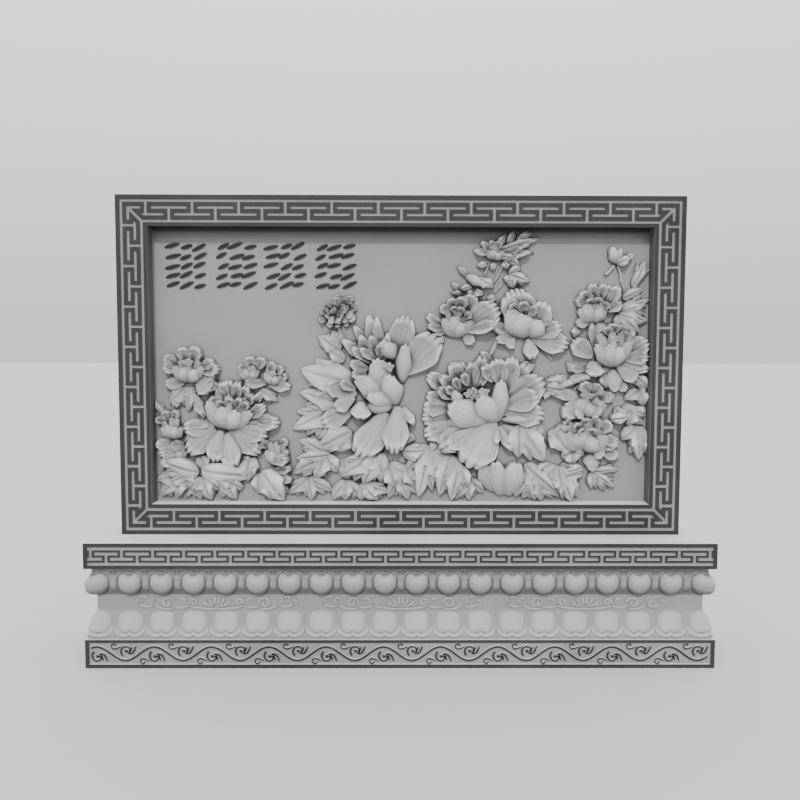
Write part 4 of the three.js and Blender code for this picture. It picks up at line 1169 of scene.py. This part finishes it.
# %% Top group
carve(
    "carving_top",
    bowls=[(266, 820, 76, 146, 58, -6), (455, 1198, 48, 70, 46, -6)],
    spoons=[
        (604, 824, 524, 950, 130, 60, 3), (618, 820, 580, 930, 150, 68, 4),
        (630, 820, 680, 900, 116, 66, 3), (314, 1120, 404, 1084, 54, 48, 1),
    ],
    petals=[
        (300, 858, 476, 962, 158, 36, 5), (310, 850, 466, 876, 66, 42, 3),
        (216, 868, 126, 924, 54, 28, 2), (216, 860, 130, 868, 44, 32, 2),
        (222, 850, 166, 842, 40, 26, 2), (240, 930, 200, 976, 54, 36, 2),
        (262, 940, 238, 1008, 60, 32, 2), (280, 944, 302, 1016, 66, 36, 3),
        (304, 930, 364, 1022, 84, 30, 3), (262, 940, 256, 970, 40, 52, 2),
        (286, 935, 296, 966, 40, 54, 2), (310, 910, 336, 940, 44, 50, 2),
        (617, 830, 566, 1054, 186, 38, 6), (634, 830, 704, 990, 124, 40, 3),
        (600, 850, 506, 1010, 90, 38, 3), (600, 930, 596, 996, 60, 52, 3),
        (570, 930, 540, 986, 56, 50, 2), (628, 920, 650, 972, 52, 50, 2),
        (641, 826, 780, 884, 96, 36, 3), (646, 816, 816, 772, 116, 34, 4),
        (628, 814, 642, 712, 76, 30, 2), (541, 852, 452, 866, 60, 32, 2),
        (545, 830, 470, 800, 56, 28, 2), (560, 820, 520, 770, 60, 24, 2),
        (437, 1226, 358, 1242, 34, 30, 1), (440, 1236, 390, 1280, 36, 28, 1),
        (450, 1250, 438, 1290, 34, 32, 1), (466, 1250, 484, 1286, 38, 34, 1),
        (480, 1232, 620, 1276, 34, 28, 1), (484, 1224, 626, 1240, 34, 34, 1),
        (470, 1210, 586, 1212, 32, 30, 1), (478, 1216, 600, 1256, 30, 32, 1),
        (210, 830, 180, 790, 44, 22, 2), (300, 840, 360, 790, 60, 22, 2),
    ],
    blades=[
        (323, 1122, 276, 1166, 22, 26), (387, 1098, 448, 1060, 42, 36), (380, 1108, 430, 1086, 26, 30),
        (470, 1240, 678, 1304, 34, 22), (520, 1270, 560, 1336, 30, 18), (480, 1262, 500, 1330, 30, 18),
        (560, 1290, 640, 1330, 30, 18), (480, 1222, 560, 1186, 30, 24), (346, 1070, 290, 1046, 26, 22),
        (280, 1050, 246, 1092, 22, 20), (300, 1030, 244, 1046, 20, 18), (420, 1180, 374, 1160, 26, 22),
        (460, 1184, 440, 1146, 24, 22), (500, 1190, 520, 1150, 28, 24), (520, 1200, 588, 1176, 36, 22),
    ],
    leaves=[
        (528, 1128, 46, 30, (530, 1084), (556, 1058), (626, 1086), (590, 1156)),
        (360, 1050, 40, 20, (330, 1010), (400, 1020)),
        (420, 1000, 46, 20, (400, 950), (450, 960), (470, 1010)),
    ],
    stems=[
        (430, 1180, 370, 1060, 10, 16), (500, 1180, 440, 1070, 10, 16), (682, 772, 744, 710, 12, 14),
        (470, 800, 430, 720, 20, 20), (384, 1062, 330, 1030, 10, 14), (500, 1090, 460, 1040, 10, 12),
    ],
    hearts=[(276, 946, 30, 50, 12), (608, 968, 26, 54, 8), (452, 1256, 18, 38, 8)],
)

# %% Right group
carve(
    "carving_right",
    bowls=[
        (945, 890, 78, 134, 58, 6), (1052, 676, 92, 184, 66, 6), (908, 420, 108, 132, 50, 0),
        (908, 258, 122, 132, 62, -6),
    ],
    spoons=[
        (1050, 662, 1056, 556, 94, 40, 1), (948, 246, 948, 158, 86, 38, 1),
        (1062, 1180, 1026, 1256, 62, 46, 1), (1062, 1178, 1064, 1250, 44, 42, 1),
    ],
    petals=[
        (915, 968, 862, 1010, 54, 32, 2), (925, 980, 890, 1046, 60, 34, 2),
        (945, 984, 936, 1082, 60, 30, 2), (970, 984, 986, 1082, 56, 34, 2),
        (990, 976, 1032, 1070, 64, 30, 2), (1004, 964, 1068, 1064, 66, 34, 2),
        (1004, 950, 1078, 988, 54, 38, 2), (930, 900, 862, 882, 54, 28, 2),
        (930, 980, 920, 1010, 44, 52, 2), (960, 980, 966, 1014, 44, 54, 2),
        (985, 960, 1010, 990, 44, 50, 2), (960, 896, 990, 850, 60, 26, 2),
        (1020, 830, 1010, 872, 54, 46, 2), (1040, 836, 1046, 886, 66, 42, 3),
        (1070, 832, 1084, 880, 56, 40, 2), (1090, 810, 1120, 842, 60, 40, 2),
        (1083, 730, 1218, 790, 112, 34, 4), (1090, 716, 1216, 730, 74, 38, 3),
        (1080, 704, 1212, 684, 62, 34, 3), (942, 722, 852, 806, 104, 30, 3),
        (960, 742, 942, 888, 46, 26, 1), (980, 800, 980, 870, 50, 24, 2),
        (990, 690, 920, 660, 60, 26, 2), (950, 696, 956, 626, 92, 32, 3),
        (914, 660, 834, 668, 44, 28, 2), (914, 640, 840, 604, 46, 26, 2),
        (1069, 684, 1166, 606, 84, 30, 3), (1090, 690, 1216, 652, 62, 34, 2),
        (890, 540, 764, 532, 60, 28, 2), (870, 500, 816, 414, 86, 32, 2),
        (930, 540, 900, 600, 70, 34, 2), (950, 540, 990, 580, 66, 32, 2),
        (970, 510, 1040, 540, 60, 30, 2), (930, 480, 992, 482, 84, 44, 2),
        (900, 470, 860, 430, 70, 40, 2), (940, 470, 980, 430, 60, 36, 2),
        (890, 350, 856, 392, 56, 44, 2), (914, 352, 914, 424, 66, 36, 2),
        (940, 352, 980, 422, 66, 34, 2), (975, 340, 1038, 404, 66, 34, 3),
        (990, 310, 1072, 314, 64, 40, 2), (970, 270, 1076, 292, 52, 36, 2),
        (832, 335, 764, 360, 62, 28, 2), (850, 360, 810, 406, 52, 30, 2),
        (960, 268, 1004, 228, 64, 30, 2), (985, 262, 1080, 224, 62, 28, 3),
        (900, 345, 880, 366, 40, 54, 2), (940, 340, 950, 372, 44, 56, 2),
        (1060, 600, 1120, 560, 50, 22, 2),
    ],
    blades=[
        (1056, 1180, 1124, 1212, 36, 32), (1135, 1067, 1216, 1188, 36, 24),
        (1100, 1200, 1130, 1240, 26, 20), (1064, 950, 1222, 1004, 46, 24),
        (1070, 946, 1210, 962, 40, 28), (1070, 940, 1218, 918, 50, 26), (1066, 936, 1190, 884, 46, 30),
        (1060, 930, 1160, 832, 64, 28), (1056, 926, 1112, 850, 50, 24),
        (1090, 1010, 1190, 1060, 40, 22), (1150, 640, 1216, 560, 50, 24),
        (1110, 870, 1150, 800, 40, 26), (870, 870, 850, 820, 34, 20), (1000, 640, 1010, 560, 40, 20),
        (1020, 560, 1060, 500, 44, 20), (860, 640, 820, 700, 34, 18),
    ],
    stems=[
        (1043, 1172, 1003, 1128, 12, 22), (1062, 1170, 1083, 1094, 10, 18),
        (1083, 1094, 1100, 1010, 10, 14), (990, 700, 960, 760, 16, 24), (900, 620, 860, 560, 14, 18),
    ],
    hearts=[(965, 966, 30, 54, 12), (1050, 812, 24, 52, 8), (920, 530, 30, 44, 10), (925, 352, 30, 50, 10)],
)

# %% [markdown]
# ## Painted shade and highlight
# The deep pockets are painted dark as painted shade, and the parts that stand out are painted
# pale as a painted highlight. How deep a place lies is its own height against the mean height of
# the carving about it, so the carving's height is first gathered on a grid of small cells and
# blurred over a petal's width.

# %% Painted shade and highlight
cell = 8 * MM
petal_reach = 26 * MM
full_height = 60 * MM


def mean_level():
    """The highest point of the carving in each cell, spread to its neighbours as a bell curve."""
    every = np.concatenate([np.concatenate(carving.points) for carving in carvings])
    columns = int((panel_high.x - panel_low.x) / cell) + 2
    rows = int((panel_high.z - panel_low.z) / cell) + 2
    level = np.zeros((rows, columns))
    column = np.clip(((every[:, 0] - panel_low.x) / cell).round().astype(int), 0, columns - 1)
    row = np.clip((every[:, 1] / cell).round().astype(int), 0, rows - 1)
    np.maximum.at(level, (row, column), every[:, 2])
    steps = np.arange(-9, 10)
    bell = np.exp(-(steps * cell / petal_reach) ** 2)
    bell /= bell.sum()
    for axis in (0, 1):
        level = np.apply_along_axis(np.convolve, axis, level, bell, "same")
    return level


level_about = mean_level()


def mean_level_at(x, z):
    """The mean level at any places, from the four cells about each."""
    column = np.clip((x - panel_low.x) / cell, 0, level_about.shape[1] - 1.001)
    row = np.clip(z / cell, 0, level_about.shape[0] - 1.001)
    i, j = row.astype(int), column.astype(int)
    p, q = row - i, column - j
    low = level_about[i, j] * (1 - q) + level_about[i, j + 1] * q
    high = level_about[i + 1, j] * (1 - q) + level_about[i + 1, j + 1] * q
    return low * (1 - p) + high * p


def painted_shade_and_highlight(points):
    """0 in a deep hollow, painted darkest as painted shade, and 1 on a form that stands out,
    painted palest as a painted highlight. Half of it is a point's height, and the rest is how far
    that is above or below the mean level about it."""
    high = np.maximum(points[:, 2], 0) / full_height
    about = mean_level_at(points[:, 0], points[:, 1]) / full_height
    # Painted shade in the hollows and a painted highlight on the forms that stand out.
    return 0.21 + 0.5 * high + 1.7 * (high - about)


for carving in carvings:
    carving.make(painted_shade_and_highlight, carving_finish)

# %% [markdown]
# ## Panel and strokes
# The panel's ground is one flat sawn face, so it is a plain slab of the same place and size as
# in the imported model. At its upper left stand four groups of short slanting strokes, which are
# plain lens shapes with dark tops.

# %% Panel ground
ground_columns, ground_rows = 165, 135
pocket_low, pocket_high = 12 * MM, 34 * MM


def panel_ground():
    """The slab behind the carving, with a grid on its front so that painted shade can darken it in
    the carving's hollows, along the frame's inner edges and just under the top member, and a
    painted shadow of the top member can lie across its upper part."""
    columns, rows = ground_columns, ground_rows
    x = np.linspace(panel_low.x, panel_high.x, columns)[None, :] + np.zeros((rows, 1))
    z = np.linspace(panel_low.z, panel_high.z, rows)[:, None] + np.zeros((1, columns))
    below_top = panel_high.z - z
    near_edge = np.minimum(np.minimum(x - panel_low.x, panel_high.x - x), below_top)
    # Painted shade in the hollows among the carving.
    painted_pocket_shade = smooth(mean_level_at(x, z - panel_low.z), pocket_low, pocket_high)
    # Painted shade: the ground is painted a little darker along the frame's sides and top.
    shade = (0.42 + 0.1 * smooth(near_edge, 0, 60 * MM)) * (1 - painted_pocket_shade)
    # Painted shade: a strip just under the top member is painted nearly black.
    shade *= smooth(below_top, 10 * MM, 26 * MM)
    # Painted shadow: the upper part of the ground is painted darker, down to where the top member's shadow
    # ends.
    shade *= 0.55 + 0.45 * smooth(below_top, 30 * MM, 76 * MM)
    front = np.stack([x, np.full_like(x, ground_y), z], -1).reshape(-1, 3)
    index = np.arange(rows * columns).reshape(rows, columns)
    edge = np.concatenate([index[0, :-1], index[:-1, -1], index[-1, :0:-1], index[:0:-1, 0]])
    behind = front[edge].copy()
    behind[:, 1] = panel_high.y
    around, first = len(edge), len(front)
    ring = np.arange(around)
    following = (ring + 1) % around
    walls = np.stack([edge[ring], first + ring, first + following, edge[following]], 1)
    middle = np.array([[0, panel_high.y, (panel_low.z + panel_high.z) / 2]])
    back = np.stack([first + following, first + ring, np.full(around, first + around)], 1)
    points = np.concatenate([front, behind, middle])
    depth = np.concatenate([shade.ravel(), np.full(around + 1, 0.5)])
    return stone_mesh("panel_ground", points, np.concatenate([grid_quads(rows, columns), walls]), back,
                      "relief_panel", "carved_stone", ground_finish, depth=depth)


panel_ground()

# %% Strokes
stroke_groups, group_rows, row_strokes = 4, 5, 3
first_group, group_pitch, groups_middle = -1054 * MM, 243 * MM, 1166 * MM
stroke_pitch, row_pitch = 66 * MM, 47 * MM
stroke_half_length, stroke_half_width, stroke_height = 34 * MM, 11 * MM, 7 * MM
stroke_lean = 20


def stroke(carving, middle, number):
    """A lens: its half width is a sine over its length, and it is highest along its middle. Each
    differs a little from the others in place, length and lean."""
    x = middle[0] + 6 * MM * math.sin(3.1 * number)
    z = middle[1] + 5 * MM * math.cos(4.7 * number)
    half = stroke_half_length + 5 * MM * math.sin(2.3 * number)
    lean = math.radians(stroke_lean + 7 * math.sin(1.9 * number))
    tip = (x + half * math.cos(lean), z + half * math.sin(lean))
    foot = (x - half * math.cos(lean), z - half * math.sin(lean))
    v = np.linspace(0, 1, 11)[:, None]
    u = np.linspace(-1, 1, 5)[None, :]
    swell = np.sin(math.pi * (0.04 + 0.92 * v)) ** 0.6
    place_x, place_z = laid(foot, tip, 2 * half * v + 0 * u, stroke_half_width * u * swell)
    marks = np.zeros(place_x.shape + (2,))
    carving.sheet(place_x, place_z, stroke_height - 2 * MM * np.abs(u) + 0 * place_x, marks)


def stroke_rows():
    """The strokes of each group stand in rows and all lean the same way. They are darkest on
    top, and their feet are pale."""
    carving = Carving("stroke_rows")
    for number in range(stroke_groups * group_rows * row_strokes):
        group, rest = divmod(number, group_rows * row_strokes)
        row, column = divmod(rest, row_strokes)
        x = first_group + group_pitch * group + stroke_pitch * (column - 1)
        stroke(carving, (x, groups_middle + row_pitch * (row - 2)), number)
    return carving.make(lambda points: points[:, 2] / (8 * MM), stroke_finish)


stroke_rows()

# %% [markdown]
# ## Light and floor
# The wall stands outdoors on a bright dull day. A broad sky is brightest overhead, and a soft
# sun high in front gives the petals their lit upper edges and dark undersides. The floor is
# plain and pale.

# %% Light, floor and sky
sky_at_edge, sky_overhead = 0.95, 2.85
sun_strength, sun_softness = 2.9, 4
sun_tilt, sun_side = 49, -7
floor_reach = 30

world = bpy.data.worlds.new("sky")
bpy.context.scene.world = world
world.use_nodes = True
sky_tree = world.node_tree
looking = add_node(sky_tree, "ShaderNodeTexCoord").outputs["Generated"]
looking_up = add_node(sky_tree, "ShaderNodeSeparateXYZ", {0: looking}).outputs["Z"]
sky = sky_tree.nodes["Background"]
sky.inputs["Color"].default_value = (1, 1, 1, 1)
sky_tree.links.new(remap(sky_tree, looking_up, 0.0, 1.0, sky_at_edge, sky_overhead), sky.inputs["Strength"])

sun = bpy.data.objects.new("sun", bpy.data.lights.new("sun", "SUN"))
bpy.context.scene.collection.objects.link(sun)
sun.data.energy = sun_strength
sun.data.angle = math.radians(sun_softness)
sun.rotation_euler = (math.radians(sun_tilt), 0, math.radians(sun_side))

floor_mesh = bpy.data.meshes.new("floor")
floor_corners = [(x * floor_reach, y * floor_reach, 0) for x, y in ((-1, -1), (1, -1), (1, 1), (-1, 1))]
floor_mesh.from_pydata(floor_corners, [], [(0, 1, 2, 3)])
floor = bpy.data.objects.new("floor", floor_mesh)
bpy.context.scene.collection.objects.link(floor)
floor_finish, floor_tree, floor_shader = new_finish("pale floor")
floor_shader.inputs["Base Color"].default_value = (0.42, 0.42, 0.42, 1)
floor_shader.inputs["Roughness"].default_value = 0.9
floor_mesh.materials.append(floor_finish)
print("sun at", sun_tilt, "degrees from overhead, and a floor of", 2 * floor_reach, "metres")
